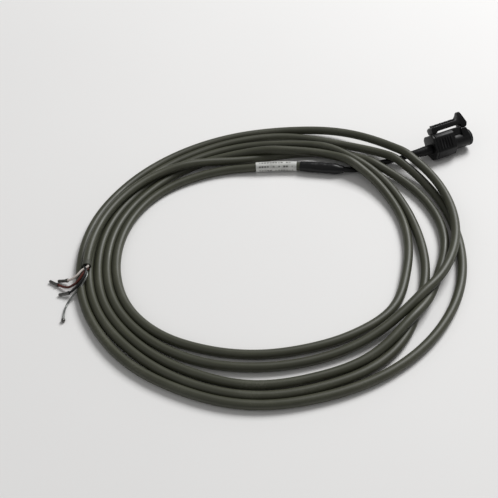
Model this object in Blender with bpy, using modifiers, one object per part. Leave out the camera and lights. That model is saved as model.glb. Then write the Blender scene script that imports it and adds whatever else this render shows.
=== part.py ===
"""Plug-in sensor lead with a latching three-way plug, modelled in metres, +Z up.

+X runs along the plug's axis, out of its nose. The origin is on the surface that the lead lies on,
under the middle of the plug. The plug lies rolled over on one of its two lower chamfers.
The cable's places are given in the coil's own plan: millimetres from the coil's setting-out point,
which stands at COIL_PLACE and is turned by COIL_TURN.
"""

import math

import bmesh
import bpy
from mathutils import Matrix, Vector

MM = 0.001
GAP = 0.3                      # clearance between neighbouring solids, mm

# Plug: x from the rear face along the axis, y across, z towards the latch (mm)
PLUG_AXIS_SIDE = -2.95         # the axis is off the middle of the rolled plug's width
PLUG_REAR = -4.94              # the rear face, so that boot and nose are centred on the origin
BODY_HALF_WIDTH = 5.75
BODY_TOP = 7.1
BODY_BOTTOM = -6.4
TOP_CHAMFER = 1.7
LOWER_CHAMFER = (3.9, 3.5)     # across and up, the facet that the plug rests on
# The roll and height that lay that facet on the surface
PLUG_ROLL = -math.atan2(LOWER_CHAMFER[1], LOWER_CHAMFER[0])
PLUG_AXIS_HEIGHT = ((BODY_HALF_WIDTH * LOWER_CHAMFER[1] - (BODY_BOTTOM + LOWER_CHAMFER[1]) * LOWER_CHAMFER[0])
                    / math.hypot(*LOWER_CHAMFER))
COVER_LENGTH = 1.5
BODY_FRONT = 13.0
NOSE_RADIUS = 4.5
NOSE_FRONT = 24.3
BORE_RADIUS = 3.4
GROOVE = (22.5, 23.6, 3.95)    # seal groove: start, end and bottom radius
RAIL_FRONT = 19.5              # the rail under the latch, level with the body's top
RAIL_HALF_WIDTH = 3.6
GUARD_FRONT = 22.4             # the two cheeks that guard the barb
GUARD_TOP = 5.9
GUARD_SIDES = (3.3, 4.4)
INSERT_RADIUS = 3.1
CONTACT_CIRCLE = 1.75
CONTACT_BORE = 0.95
CORE_RADIUS = 0.55
CONTACT_COUNT = 3

# Latch lever
LATCH_ROOT_X = 3.7
LATCH_ROOT_Z = 8.6
LATCH_HALF_WIDTH = 3.0
LATCH_UNDERSIDE = 8.6
LATCH_TOP = 11.1
GRIP_TOP = 12.1
GRIP_RIBS = 5

# Lead, splice and cable (mm)
LEAD_RADIUS = 1.5
BOOT_RADII = (2.8, 2.75, 2.45, 2.2, 2.15)
BOOT_BORE = 1.8
SLEEVE_RADIUS = 3.0
SLEEVE_LENGTH = 24.0
SLEEVE_BORE = 2.7
CRIMP_CIRCLE = 1.35
CABLE_RADIUS = 2.25
LABEL_RADIUS = 2.75
LABEL_LENGTH = 22.4
END_CORE_RADIUS = 0.6
END_CORE_CIRCLE = 1.1

# The coil's plan: where its setting-out point stands (m) and how it is turned
COIL_PLACE = Vector((-0.1164, -0.03145, 0.0))
COIL_TURN = math.radians(-20.0)
COIL_CENTRE = (2.0, 3.0)
# Every 30 degrees from +x, counter-clockwise: inner radius, outer radius and height of the turns
COIL_STATIONS = (
    (66, 97, 8), (69, 99, 9), (72, 99, 11), (71, 93, 9), (69, 91, 7), (70, 91, 5.8),
    (76, 95, 5.2), (74, 96, 5.4), (67, 97, 7), (63, 96, 8), (66, 96, 9), (67, 96, 11),
)

# Routes (mm, in the coil's plan)
BOOT_ROUTE = ((94.7, 64.8, 6.0), (91.2, 63.6, 6.0), (87.4, 62.6, 5.9), (84.0, 62.1, 5.5), (81.6, 62.0, 4.9))
LEAD_ROUTE = (
    (93.6, 64.4, 6.0), (91.2, 63.6, 6.0), (87.4, 62.6, 5.9), (84.0, 62.1, 5.5), (81.6, 62.0, 4.9),
    (78.6, 62.2, 3.8), (75.4, 62.6, 2.7), (72.0, 62.7, 1.9), (68.0, 62.3, 1.6), (63.5, 61.1, 1.6),
    (59.0, 59.4, 1.6), (54.5, 57.9, 1.9), (50.5, 57.1, 2.6), (47.5, 56.9, 3.1), (45.2, 57.3, 3.2),
    (43.2, 57.8, 3.2), (41.4, 58.2, 3.2),
)
SLEEVE_PLACE = (34.6, 59.9, 3.2)
SLEEVE_TURN = math.radians(166.2)
CABLE_START_ROUTE = (
    (27.2, 61.75, 3.15), (24.4, 62.4, 3.1), (20.8, 63.2, 3.0), (15.0, 64.0, 2.9), (9.5, 64.5, 2.9),
    (4.0, 64.9, 2.9), (-1.0, 65.1, 2.8), (-6.0, 65.1, 2.6), (-12.0, 64.8, 2.4), (-18.0, 64.2, 2.4),
)
CABLE_END_ROUTE = (
    (-38.0, 68.0, 10.4), (-46.0, 65.5, 10.0), (-53.0, 61.5, 9.5), (-60.0, 56.0, 9.0), (-66.0, 50.0, 8.7),
    (-72.0, 42.5, 8.4), (-77.0, 34.5, 8.2), (-81.5, 25.5, 8.1), (-85.0, 16.0, 8.0), (-87.5, 7.0, 8.0),
    (-88.6, -2.0, 8.0),
)
# The bare cores, after their start in the jacket's mouth; the last stretch is each one's ferrule
END_ROUTES = {
    "white": ((-90.4, -5.6, 8.6), (-93.0, -8.2, 6.6), (-96.6, -8.6, 4.0), (-99.6, -7.6, 2.0),
              (-103.4, -6.6, 1.0)),
    "brown": ((-89.9, -7.0, 7.2), (-91.4, -10.8, 6.4), (-94.6, -12.6, 4.2), (-99.0, -11.6, 2.0),
              (-106.4, -8.6, 0.9)),
    "black": ((-87.9, -7.5, 8.3), (-89.4, -12.2, 7.6), (-92.8, -15.4, 5.4), (-97.0, -16.2, 2.4),
              (-102.2, -15.6, 0.9)),
}
END_MOUTH_ANGLES = {"white": 45, "brown": 315, "black": 135, "drain": 225}
DRAIN_ROUTE = ((-87.9, -8.0, 6.7), (-89.6, -14.6, 6.2), (-93.0, -19.0, 4.4), (-96.4, -23.6, 1.9),
               (-97.9, -28.0, 1.0), (-98.3, -31.6, 1.0))
FERRULE_LENGTH = 5.0
FERRULE_RADIUS = 0.85

COLOURS = {
    "plug_black": ((0.012, 0.012, 0.013), 0.38, 0.0),
    "latch_black": ((0.016, 0.016, 0.017), 0.34, 0.0),
    "insert_grey": ((0.10, 0.10, 0.11), 0.5, 0.0),
    "seal_rubber": ((0.03, 0.03, 0.032), 0.6, 0.0),
    "contact_tin": ((0.72, 0.70, 0.66), 0.3, 1.0),
    "lead_black": ((0.018, 0.018, 0.019), 0.5, 0.0),
    "sleeve_black": ((0.022, 0.022, 0.023), 0.55, 0.0),
    "label_white": ((0.72, 0.72, 0.70), 0.45, 0.0),
    "cable_grey": ((0.105, 0.108, 0.088), 0.5, 0.0),
    "core_white": ((0.75, 0.70, 0.68), 0.45, 0.0),
    "core_brown": ((0.16, 0.035, 0.02), 0.45, 0.0),
    "core_black": ((0.02, 0.02, 0.02), 0.45, 0.0),
    "drain_tin": ((0.45, 0.45, 0.44), 0.4, 1.0),
}


# ---------------------------------------------------------------- scene and placing

def clear_scene():
    for obj in list(bpy.data.objects):
        bpy.data.objects.remove(obj, do_unlink=True)


def new_collection(name):
    collection = bpy.data.collections.new(name)
    bpy.context.scene.collection.children.link(collection)
    return collection


clear_scene()
SENSOR = new_collection("sensor_lead")
CUTTERS = new_collection("cutters")


def new_material(name):
    colour, roughness, metallic = COLOURS[name]
    made = bpy.data.materials.new(name)
    made.use_nodes = True
    shader = made.node_tree.nodes["Principled BSDF"]
    shader.inputs["Base Color"].default_value = (*colour, 1.0)
    shader.inputs["Roughness"].default_value = roughness
    shader.inputs["Metallic"].default_value = metallic
    return made


def new_empty(name, place, rotation, parent=None):
    empty = bpy.data.objects.new(name, None)
    SENSOR.objects.link(empty)
    empty.location = place
    empty.rotation_euler = rotation
    empty.parent = parent
    return empty


def finish(obj, name, finish_name, parent):
    """Name a piece, give it its own material and hang it on its frame."""
    obj.name = name
    obj.data.name = name
    obj.data.materials.clear()
    made = new_material(finish_name)
    made.name = name + "_" + finish_name
    obj.data.materials.append(made)
    obj.parent = parent
    return obj


# ---------------------------------------------------------------- shapes

ALONG_X = Matrix(((0, 0, 1), (1, 0, 0), (0, 1, 0))).to_4x4()      # a shape's own Z lies along X
ACROSS_Y = Matrix(((1, 0, 0), (0, 0, -1), (0, 1, 0))).to_4x4()    # a side outline, thick along Y


def mesh_object(name, bm, collection=SENSOR):
    bmesh.ops.recalc_face_normals(bm, faces=bm.faces)
    if bm.calc_volume(signed=True) < 0:
        bmesh.ops.reverse_faces(bm, faces=bm.faces)
    mesh = bpy.data.meshes.new(name)
    bm.to_mesh(mesh)
    bm.free()
    obj = bpy.data.objects.new(name, mesh)
    collection.objects.link(obj)
    mesh.shade_smooth()
    mesh.set_sharp_from_angle(angle=math.radians(35))
    return obj


def curve_to_mesh(curve_object, collection=SENSOR):
    """A curve's closed mesh, welded at its caps, in the curve's own place."""
    bpy.context.view_layer.update()
    evaluated = curve_object.evaluated_get(bpy.context.evaluated_depsgraph_get())
    mesh = bpy.data.meshes.new_from_object(evaluated)
    bm = bmesh.new()
    bm.from_mesh(mesh)
    bpy.data.meshes.remove(mesh)
    bmesh.ops.remove_doubles(bm, verts=bm.verts, dist=0.00002)
    bm.transform(curve_object.matrix_world)
    bpy.data.objects.remove(curve_object, do_unlink=True)
    return mesh_object("shape", bm, collection)


def plate(points, start, end, turn, edge=0.0, collection=SENSOR):
    """A flat outline (mm) with a thickness from start to end, its edges rounded by edge."""
    curve = bpy.data.curves.new("outline", "CURVE")
    curve.dimensions = "2D"
    curve.fill_mode = "BOTH"
    curve.extrude = ((end - start) / 2 - edge) * MM
    curve.bevel_depth = edge * MM
    curve.bevel_resolution = 1
    curve.offset = -edge * MM
    spline = curve.splines.new("POLY")
    spline.points.add(len(points) - 1)
    for point, (a, b) in zip(spline.points, points):
        point.co = (a * MM, b * MM, 0.0, 1.0)
    spline.use_cyclic_u = True
    obj = bpy.data.objects.new("outline", curve)
    SENSOR.objects.link(obj)
    obj.matrix_world = turn @ Matrix.Translation((0, 0, (start + end) / 2 * MM))
    return curve_to_mesh(obj, collection)


def rod(radius, start, end, at=(0.0, 0.0), sides=32, collection=SENSOR):
    """A round bar along the plug's axis, between two x stations, at (y, z)."""
    bm = bmesh.new()
    place = Matrix.Translation((0, at[0] * MM, at[1] * MM)) @ ALONG_X
    place = place @ Matrix.Translation((0, 0, (start + end) / 2 * MM))
    bmesh.ops.create_cone(bm, cap_ends=True, segments=sides, radius1=radius * MM, radius2=radius * MM,
                          depth=(end - start) * MM, matrix=place)
    return mesh_object("rod", bm, collection)


def turned_ring(profile, sides=48):
    """A ring turned about the plug's axis from a closed profile of (radius, x), outer side first."""
    mesh = bpy.data.meshes.new("profile")
    count = len(profile)
    edges = [(i, (i + 1) % count) for i in range(count)]
    mesh.from_pydata([(r * MM, 0.0, x * MM) for r, x in profile], edges, [])
    obj = bpy.data.objects.new("profile", mesh)
    SENSOR.objects.link(obj)
    screw = obj.modifiers.new("turn", "SCREW")
    screw.axis = "Z"
    screw.steps = sides
    screw.render_steps = sides
    screw.use_merge_vertices = True
    screw.merge_threshold = 0.00001
    obj.matrix_world = ALONG_X
    return curve_to_mesh(obj)


def smooth_route(points, spacing):
    """Points (mm) every spacing along the smooth curve through a route's own points."""
    route = [Vector(p) for p in points]
    route = [route[0] * 2 - route[1]] + route + [route[-1] * 2 - route[-2]]
    fine = []
    for a, b, c, d in zip(route, route[1:], route[2:], route[3:]):
        for step in range(12):
            t = step / 12
            fine.append(0.5 * (2 * b + (c - a) * t + (2 * a - 5 * b + 4 * c - d) * t ** 2
                               + (3 * b - 3 * c + d - a) * t ** 3))
    fine.append(route[-2])
    reach = [0.0]
    for a, b in zip(fine, fine[1:]):
        reach.append(reach[-1] + (b - a).length)
    count = max(2, round(reach[-1] / spacing))
    found = []
    index = 0
    for k in range(count + 1):
        target = reach[-1] * k / count
        while index < len(fine) - 2 and reach[index + 1] < target:
            index += 1
        share = (target - reach[index]) / (reach[index + 1] - reach[index])
        found.append(fine[index].lerp(fine[index + 1], share))
    return found


def tube(points, radius, resolution=2, radii=None):
    """A round tube through points (mm); radii, where given, are the radius at each point."""
    curve = bpy.data.curves.new("tube", "CURVE")
    curve.dimensions = "3D"
    curve.bevel_depth = radius * MM
    curve.bevel_resolution = resolution
    curve.use_fill_caps = True
    spline = curve.splines.new("POLY")
    spline.points.add(len(points) - 1)
    for index, (target, point) in enumerate(zip(spline.points, points)):
        target.co = (*(Vector(point) * MM), 1.0)
        target.radius = radii[index] / radius if radii else 1.0
    obj = bpy.data.objects.new("tube", curve)
    SENSOR.objects.link(obj)
    return obj


def apply_boolean(obj, other, operation):
    modifier = obj.modifiers.new(operation.lower(), "BOOLEAN")
    modifier.operation = operation
    modifier.solver = "EXACT"
    modifier.object = other
    return curve_to_mesh(obj)


def cut(obj, cutter):
    cutter.hide_render = True
    cutter.display_type = "WIRE"
    made = apply_boolean(obj, cutter, "DIFFERENCE")
    bpy.data.objects.remove(cutter, do_unlink=True)
    return made


def join(obj, other):
    made = apply_boolean(obj, other, "UNION")
    bpy.data.objects.remove(other, do_unlink=True)
    return made


# ---------------------------------------------------------------- plug

def body_outline():
    """The plug's cross section as (y, z): chamfered above and, more widely, below."""
    side, top, bottom = BODY_HALF_WIDTH, BODY_TOP, BODY_BOTTOM
    across, up = LOWER_CHAMFER
    half = [(side - across, bottom), (side, bottom + up), (side, top - TOP_CHAMFER), (side - TOP_CHAMFER, top)]
    return half + [(-y, z) for y, z in reversed(half)]


def contact_places():
    """Where the three contacts stand about the axis, as (y, z)."""
    angles = [math.radians(90 + 360 * k / CONTACT_COUNT) for k in range(CONTACT_COUNT)]
    return [(CONTACT_CIRCLE * math.cos(a), CONTACT_CIRCLE * math.sin(a)) for a in angles]


def bored_insert(start, end):
    """A round insert of the plug's bore, with a hole for each contact."""
    insert = rod(INSERT_RADIUS, start, end)
    for place in contact_places():
        insert = cut(insert, rod(CONTACT_BORE, start - 1, end + 1, place, 16, CUTTERS))
    return insert


def build_housing():
    body = plate(body_outline(), COVER_LENGTH + GAP, BODY_FRONT, ALONG_X, edge=0.35)
    start, end, bottom = GROOVE
    nose = turned_ring([(NOSE_RADIUS - 0.5, NOSE_FRONT), (NOSE_RADIUS, NOSE_FRONT - 0.5), (NOSE_RADIUS, end),
                        (bottom, end), (bottom, start), (NOSE_RADIUS, start),
                        (NOSE_RADIUS, BODY_FRONT - 1), (2, BODY_FRONT - 1), (2, NOSE_FRONT)])
    housing = join(body, nose)
    rail = [(BODY_FRONT - 1, 0), (RAIL_FRONT, 0), (RAIL_FRONT, BODY_TOP), (BODY_FRONT - 1, BODY_TOP)]
    housing = join(housing, plate(rail, -RAIL_HALF_WIDTH, RAIL_HALF_WIDTH, ACROSS_Y))
    guard = [(RAIL_FRONT - 1, 0), (GUARD_FRONT, 0), (GUARD_FRONT - 0.3, GUARD_TOP), (RAIL_FRONT - 1, GUARD_TOP)]
    inner, outer = GUARD_SIDES
    for near, far in ((inner, outer), (-outer, -inner)):
        housing = join(housing, plate(guard, near, far, ACROSS_Y))
    return cut(housing, rod(BORE_RADIUS, 0, NOSE_FRONT + 1, sides=48, collection=CUTTERS))


def build_rear_cover():
    cover = plate(body_outline(), 0, COVER_LENGTH, ALONG_X, edge=0.35)
    return cut(cover, rod(BOOT_RADII[0] - 0.2, -1, COVER_LENGTH + 1, collection=CUTTERS))


def build_nose_seal():
    start, end, bottom = GROOVE
    inner, outer = bottom + 0.1, NOSE_RADIUS + 0.15
    middle = (start + end) / 2
    return turned_ring([(outer, middle + 0.2), (outer, middle - 0.2), (inner + 0.15, start + 0.15),
                        (inner, middle - 0.2), (inner, middle + 0.2), (inner + 0.15, end - 0.15)])


def build_latch():
    """The lever's side outline, rounded root to barb, with the grip ribs standing on its back."""
    root_x, root_z = LATCH_ROOT_X, LATCH_ROOT_Z
    outline = [(root_x - 1.3, BODY_TOP + GAP), (root_x + 1.3, BODY_TOP + GAP), (root_x + 1.8, LATCH_UNDERSIDE),
               (19.8, LATCH_UNDERSIDE), (19.9, 7.0), (20.4, 5.9), (22.4, 5.9), (23.2, 6.5), (23.9, 8.1),
               (22.2, 13.9), (21.6, 14.9), (20.7, 14.7), (20.0, 13.0), (18.6, LATCH_TOP + 0.3),
               (17.4, LATCH_TOP), (root_x - 0.6, LATCH_TOP), (root_x - 1.6, LATCH_TOP - 1.0)]
    lever = plate(outline, -LATCH_HALF_WIDTH, LATCH_HALF_WIDTH, ACROSS_Y, edge=0.2)
    first, last = root_x + 1.2, 16.6
    for k in range(GRIP_RIBS):
        x = first + (last - first) * k / (GRIP_RIBS - 1)
        rib = [(x - 0.8, LATCH_TOP - 0.8), (x + 0.8, LATCH_TOP - 0.8), (x + 0.5, GRIP_TOP), (x - 0.5, GRIP_TOP)]
        lever = join(lever, plate(rib, -LATCH_HALF_WIDTH + 0.4, LATCH_HALF_WIDTH - 0.4, ACROSS_Y))
    lever.data.transform(Matrix.Translation((-root_x * MM, 0, -root_z * MM)))
    return lever


def build_contact(place):
    stations = ((5.6, 0.6), (9.4, 0.6), (9.8, 0.75), (13.4, 0.75), (13.8, 0.5), (22.2, 0.5), (22.9, 0.3))
    points = [(x, *place) for x, radius in stations]
    return tube(points, 0.75, radii=[radius for x, radius in stations])


def build_plug_core(place):
    """A core from the lead's end in the boot, spreading out to its contact."""
    y, z = place
    near = 0.75 / CONTACT_CIRCLE
    points = [(-1.2, y * near, z * near), (-0.4, y * near, z * near), (0.8, y * 0.7, z * 0.7),
              (1.9, y, z), (3.4, y, z), (5.3, y, z)]
    return tube(smooth_route(points, 0.8), CORE_RADIUS)


def build_plug(frame):
    finish(build_housing(), "plug_housing", "plug_black", frame)
    finish(build_rear_cover(), "rear_cover", "plug_black", frame)
    finish(build_nose_seal(), "nose_seal", "seal_rubber", frame)
    finish(bored_insert(1.9, 3.3), "wire_seal", "seal_rubber", frame)
    finish(bored_insert(3.6, 4.8), "terminal_lock", "insert_grey", frame)
    finish(bored_insert(5.1, 23.5), "contact_carrier", "insert_grey", frame)
    for number, place in enumerate(contact_places(), 1):
        finish(build_contact(place), f"contact_{number}", "contact_tin", frame)
        finish(build_plug_core(place), f"plug_core_{number}", "core_black", frame)
    pivot = new_empty("latch_pivot", Vector((LATCH_ROOT_X, 0, LATCH_ROOT_Z)) * MM, (0, 0, 0), frame)
    finish(build_latch(), "latch_lever", "latch_black", pivot)


# ---------------------------------------------------------------- lead and splice

def build_boot():
    points = smooth_route(BOOT_ROUTE, 1.7)
    last = len(points) - 1
    radii = []
    for k in range(last + 1):
        station = k / last * (len(BOOT_RADII) - 1)
        index = min(int(station), len(BOOT_RADII) - 2)
        radii.append(BOOT_RADII[index] + (BOOT_RADII[index + 1] - BOOT_RADII[index]) * (station - index))
    boot = curve_to_mesh(tube(points, BOOT_RADII[0], 4, radii))
    longer = [points[0] * 2 - points[1]] + points + [points[-1] * 2 - points[-2]]
    return cut(boot, curve_to_mesh(tube(longer, BOOT_BORE, 4), CUTTERS))


def build_sleeve():
    """The heat-shrunk sleeve, drawn in at the lead's end, over the splice."""
    half = SLEEVE_LENGTH / 2
    stations = ((-half, 2.15), (-half + 1.5, 2.25), (-half + 3.5, 2.85), (-half + 5, SLEEVE_RADIUS),
                (half, SLEEVE_RADIUS))
    sleeve = curve_to_mesh(tube([(x, 0, 0) for x, r in stations], SLEEVE_RADIUS, 4, [r for x, r in stations]))
    sleeve = cut(sleeve, rod(BOOT_BORE, -half - 1, 0, collection=CUTTERS))
    return cut(sleeve, rod(SLEEVE_BORE, -half + 5.4, half + 1, collection=CUTTERS))


def build_crimp(place):
    y, z = place
    ring = turned_ring([(1.05, 3.0), (1.05, -3.0), (0.8, -3.0), (0.8, 3.0)], 16)
    ring.data.transform(Matrix.Translation((0, y * MM, z * MM)))
    return ring


def build_splice_core(place):
    """A core from the lead's end, through its crimp, to the cable's end."""
    y, z = place
    near = 0.75 / CRIMP_CIRCLE
    points = [(-6.6, y * near, z * near), (-5.8, y * near, z * near), (-4.0, y, z), (0, y, z), (4.0, y, z),
              (6.4, y * 0.8, z * 0.8), (7.2, y * 0.8, z * 0.8)]
    return tube(smooth_route(points, 1.2), 0.5)


def build_lead(plan, splice):
    finish(build_boot(), "strain_boot", "plug_black", plan)
    finish(tube(smooth_route(LEAD_ROUTE, 3.0), LEAD_RADIUS), "black_lead", "lead_black", plan)
    finish(build_sleeve(), "splice_sleeve", "sleeve_black", splice)
    angles = [math.radians(90 + 120 * k) for k in range(CONTACT_COUNT)]
    for number, angle in enumerate(angles, 1):
        place = (CRIMP_CIRCLE * math.cos(angle), CRIMP_CIRCLE * math.sin(angle))
        finish(build_crimp(place), f"splice_crimp_{number}", "contact_tin", splice)
        finish(build_splice_core(place), f"splice_core_{number}", "core_black", splice)


# ---------------------------------------------------------------- cable

def build_label():
    """The marker sleeve round the start of the cable, following it."""
    points = [p for p in smooth_route(CABLE_START_ROUTE, 1.0) if -1.2 <= p.x <= -1.2 + LABEL_LENGTH]
    label = curve_to_mesh(tube(points, LABEL_RADIUS, 4))
    longer = [points[0] * 2 - points[1]] + points + [points[-1] * 2 - points[-2]]
    return cut(label, curve_to_mesh(tube(longer, CABLE_RADIUS + 0.2, 4), CUTTERS))


def coil_station(angle):
    """Inner radius, outer radius and height of the turns at an angle, blended between stations."""
    count = len(COIL_STATIONS)
    place = angle / math.tau * count % count
    index = int(place)
    share = place - index
    share = share * share * (3 - 2 * share)
    here, there = COIL_STATIONS[index], COIL_STATIONS[(index + 1) % count]
    return [a + (b - a) * share for a, b in zip(here, there)]


def build_coil():
    """One closed solid of the turns' outer shape: a ring whose section follows the stations."""
    major, minor = 72, 12
    bm = bmesh.new()
    loops = []
    for i in range(major):
        angle = math.tau * i / major
        inner, outer, height = coil_station(angle)
        loop = []
        for k in range(minor):
            turn = math.tau * (k + 0.5) / minor
            across = math.copysign(abs(math.cos(turn)) ** 0.6, math.cos(turn))
            up = math.copysign(abs(math.sin(turn)) ** 0.6, math.sin(turn))
            radius = (inner + outer) / 2 + (outer - inner) / 2 * across
            lift = height / 2 * (1 + up) + 0.02
            x = COIL_CENTRE[0] + radius * math.cos(angle)
            y = COIL_CENTRE[1] + radius * math.sin(angle)
            loop.append(bm.verts.new((x * MM, y * MM, lift * MM)))
        loops.append(loop)
    for i in range(major):
        near, far = loops[i], loops[(i + 1) % major]
        for k in range(minor):
            bm.faces.new((near[k], near[(k + 1) % minor], far[(k + 1) % minor], far[k]))
    return cut(mesh_object("coil", bm), lead_channel())


def lead_channel():
    """The way that the lead and boot take under the turns, open to the surface."""
    points = smooth_route(LEAD_ROUTE, 4.0)
    start = points[0] * 2 - points[1]
    points = [start] + points + [Vector((42.0, 57.6, 0))]
    left, right = [], []
    for before, here, after in zip(points, points[1:], points[2:]):
        side = Vector((before.y - after.y, after.x - before.x)).normalized()
        half = BOOT_RADII[0] + GAP + 0.3
        left.append((here.x + side.x * half, here.y + side.y * half))
        right.append((here.x - side.x * half, here.y - side.y * half))
    return plate(left + right[::-1], -2.0, 9.2, Matrix.Identity(4), collection=CUTTERS)


def mouth_points(name):
    """The two points of a core just outside the jacket's mouth."""
    end = Vector(CABLE_END_ROUTE[-1])
    along = (end - Vector(CABLE_END_ROUTE[-2])).normalized()
    across = along.cross(Vector((0, 0, 1))).normalized()
    over = across.cross(along)
    angle = math.radians(END_MOUTH_ANGLES[name])
    offset = (across * math.cos(angle) + over * math.sin(angle)) * END_CORE_CIRCLE
    return [end + along * reach + offset for reach in (GAP, 1.6)]


def build_end_pieces(plan):
    """The bare cores fanned out of the jacket, each with its ferrule, and the longer drain wire."""
    for colour, route in END_ROUTES.items():
        fine = smooth_route(mouth_points(colour) + list(route), 1.0)
        split = len(fine) - 1 - round(FERRULE_LENGTH)
        core, bare = fine[:split], fine[split:]
        bare = [bare[0] + (bare[1] - bare[0]).normalized() * -GAP] + bare[1:]
        finish(tube(core, END_CORE_RADIUS), f"end_core_{colour}", f"core_{colour}", plan)
        finish(tube(bare, FERRULE_RADIUS), f"ferrule_{colour}", "contact_tin", plan)
    fine = smooth_route(mouth_points("drain") + list(DRAIN_ROUTE), 1.2)
    finish(tube(fine, 0.5), "drain_wire", "drain_tin", plan)
    tip = fine[-1] + (fine[-1] - fine[-2]).normalized() * GAP
    onward = tip + (fine[-1] - fine[-2]).normalized() * 2.4
    finish(tube([tip, tip.lerp(onward, 0.5), onward], 0.9), "ferrule_drain", "contact_tin", plan)


def build_cable(plan):
    finish(tube(smooth_route(CABLE_START_ROUTE, 4.5), CABLE_RADIUS, 3), "cable_start", "cable_grey", plan)
    finish(build_label(), "label_sleeve", "label_white", plan)
    finish(build_coil(), "cable_coil", "cable_grey", plan)
    finish(tube(smooth_route(CABLE_END_ROUTE, 5.0), CABLE_RADIUS, 3), "cable_end", "cable_grey", plan)
    build_end_pieces(plan)


# ---------------------------------------------------------------- whole

def main():
    plug_place = Vector((PLUG_REAR, PLUG_AXIS_SIDE, PLUG_AXIS_HEIGHT)) * MM
    plug_frame = new_empty("plug_axis", plug_place, (PLUG_ROLL, 0, 0))
    plan = new_empty("coil_plan", COIL_PLACE, (0, 0, COIL_TURN))
    splice = new_empty("splice_axis", Vector(SLEEVE_PLACE) * MM, (0, 0, SLEEVE_TURN), plan)
    build_plug(plug_frame)
    build_lead(plan, splice)
    build_cable(plan)
    bpy.context.view_layer.update()


main()
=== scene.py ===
"""Coiled sensor lead with a latching round-nosed plug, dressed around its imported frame.

The plug lies on a lower chamfer at the origin, its axis along +X. A thin black lead runs from its boot,
under the turns of the coil, to a shrunk splice sleeve. The grey cable leaves the sleeve, carries a marker
sleeve, makes a little over five loose turns and ends in bare cores. Lengths named in millimetres are
turned into metres where a mesh is made.
"""

import logging
import math
from collections.abc import Callable, Sequence
from dataclasses import dataclass, field
from enum import Enum

import bmesh
import bpy
import numpy as np
from mathutils import Matrix, Vector


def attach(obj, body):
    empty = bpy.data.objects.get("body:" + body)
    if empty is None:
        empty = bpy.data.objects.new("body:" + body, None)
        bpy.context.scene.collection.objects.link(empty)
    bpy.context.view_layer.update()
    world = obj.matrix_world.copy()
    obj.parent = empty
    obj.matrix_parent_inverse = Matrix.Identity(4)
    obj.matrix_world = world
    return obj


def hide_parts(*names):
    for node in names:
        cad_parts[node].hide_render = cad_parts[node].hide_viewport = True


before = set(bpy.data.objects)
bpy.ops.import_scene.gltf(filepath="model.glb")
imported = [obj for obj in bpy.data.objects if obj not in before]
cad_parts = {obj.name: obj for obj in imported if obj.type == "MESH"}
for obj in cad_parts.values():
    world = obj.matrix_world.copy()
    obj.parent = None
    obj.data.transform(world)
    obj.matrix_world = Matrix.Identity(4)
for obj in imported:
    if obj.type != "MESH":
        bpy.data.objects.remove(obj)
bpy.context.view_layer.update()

LOG = logging.getLogger("sensor_lead")
MM = 0.001

Point = tuple[float, float, float]
Pair = tuple[float, float]

# Where the plug's axis frame and the coil's plan stand in the row frame
PLUG_REAR = -4.94
PLUG_AXIS_SIDE = -2.95
PLUG_AXIS_HEIGHT = 5.9988
PLUG_ROLL = -math.atan2(3.5, 3.9)
COIL_PLACE = (-0.1164, -0.03145, 0.0)
COIL_TURN = math.radians(-20.0)

PLUG = (Matrix.Translation(Vector((PLUG_REAR, PLUG_AXIS_SIDE, PLUG_AXIS_HEIGHT)) * MM)
        @ Matrix.Rotation(PLUG_ROLL, 4, "X"))
PLAN = Matrix.Translation(COIL_PLACE) @ Matrix.Rotation(COIL_TURN, 4, "Z")
SPLICE_PLACE = (34.6, 59.9, 3.2)
SPLICE_TURN = math.radians(166.2)
SLEEVE_HALF = 12.0
SPLICE = PLAN @ Matrix.Translation(Vector(SPLICE_PLACE) * MM) @ Matrix.Rotation(SPLICE_TURN, 4, "Z")


class Body(Enum):
    """The two bodies that pieces ride on."""

    LEAD = "lead"
    LATCH = "latch"


class Slot(Enum):
    """The record's material slots."""

    PLUG = "plug_black"
    LATCH = "latch_black"
    SEAL = "seal_rubber"
    INSERT = "insert_grey"
    TIN = "contact_tin"
    CORE_BLACK = "core_black"
    CORE_WHITE = "core_white"
    CORE_BROWN = "core_brown"
    DRAIN = "drain_tin"
    LEAD = "lead_black"
    SLEEVE = "sleeve_black"
    LABEL = "label_white"
    CABLE = "cable_grey"


# ---------------------------------------------------------------- node trees

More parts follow.
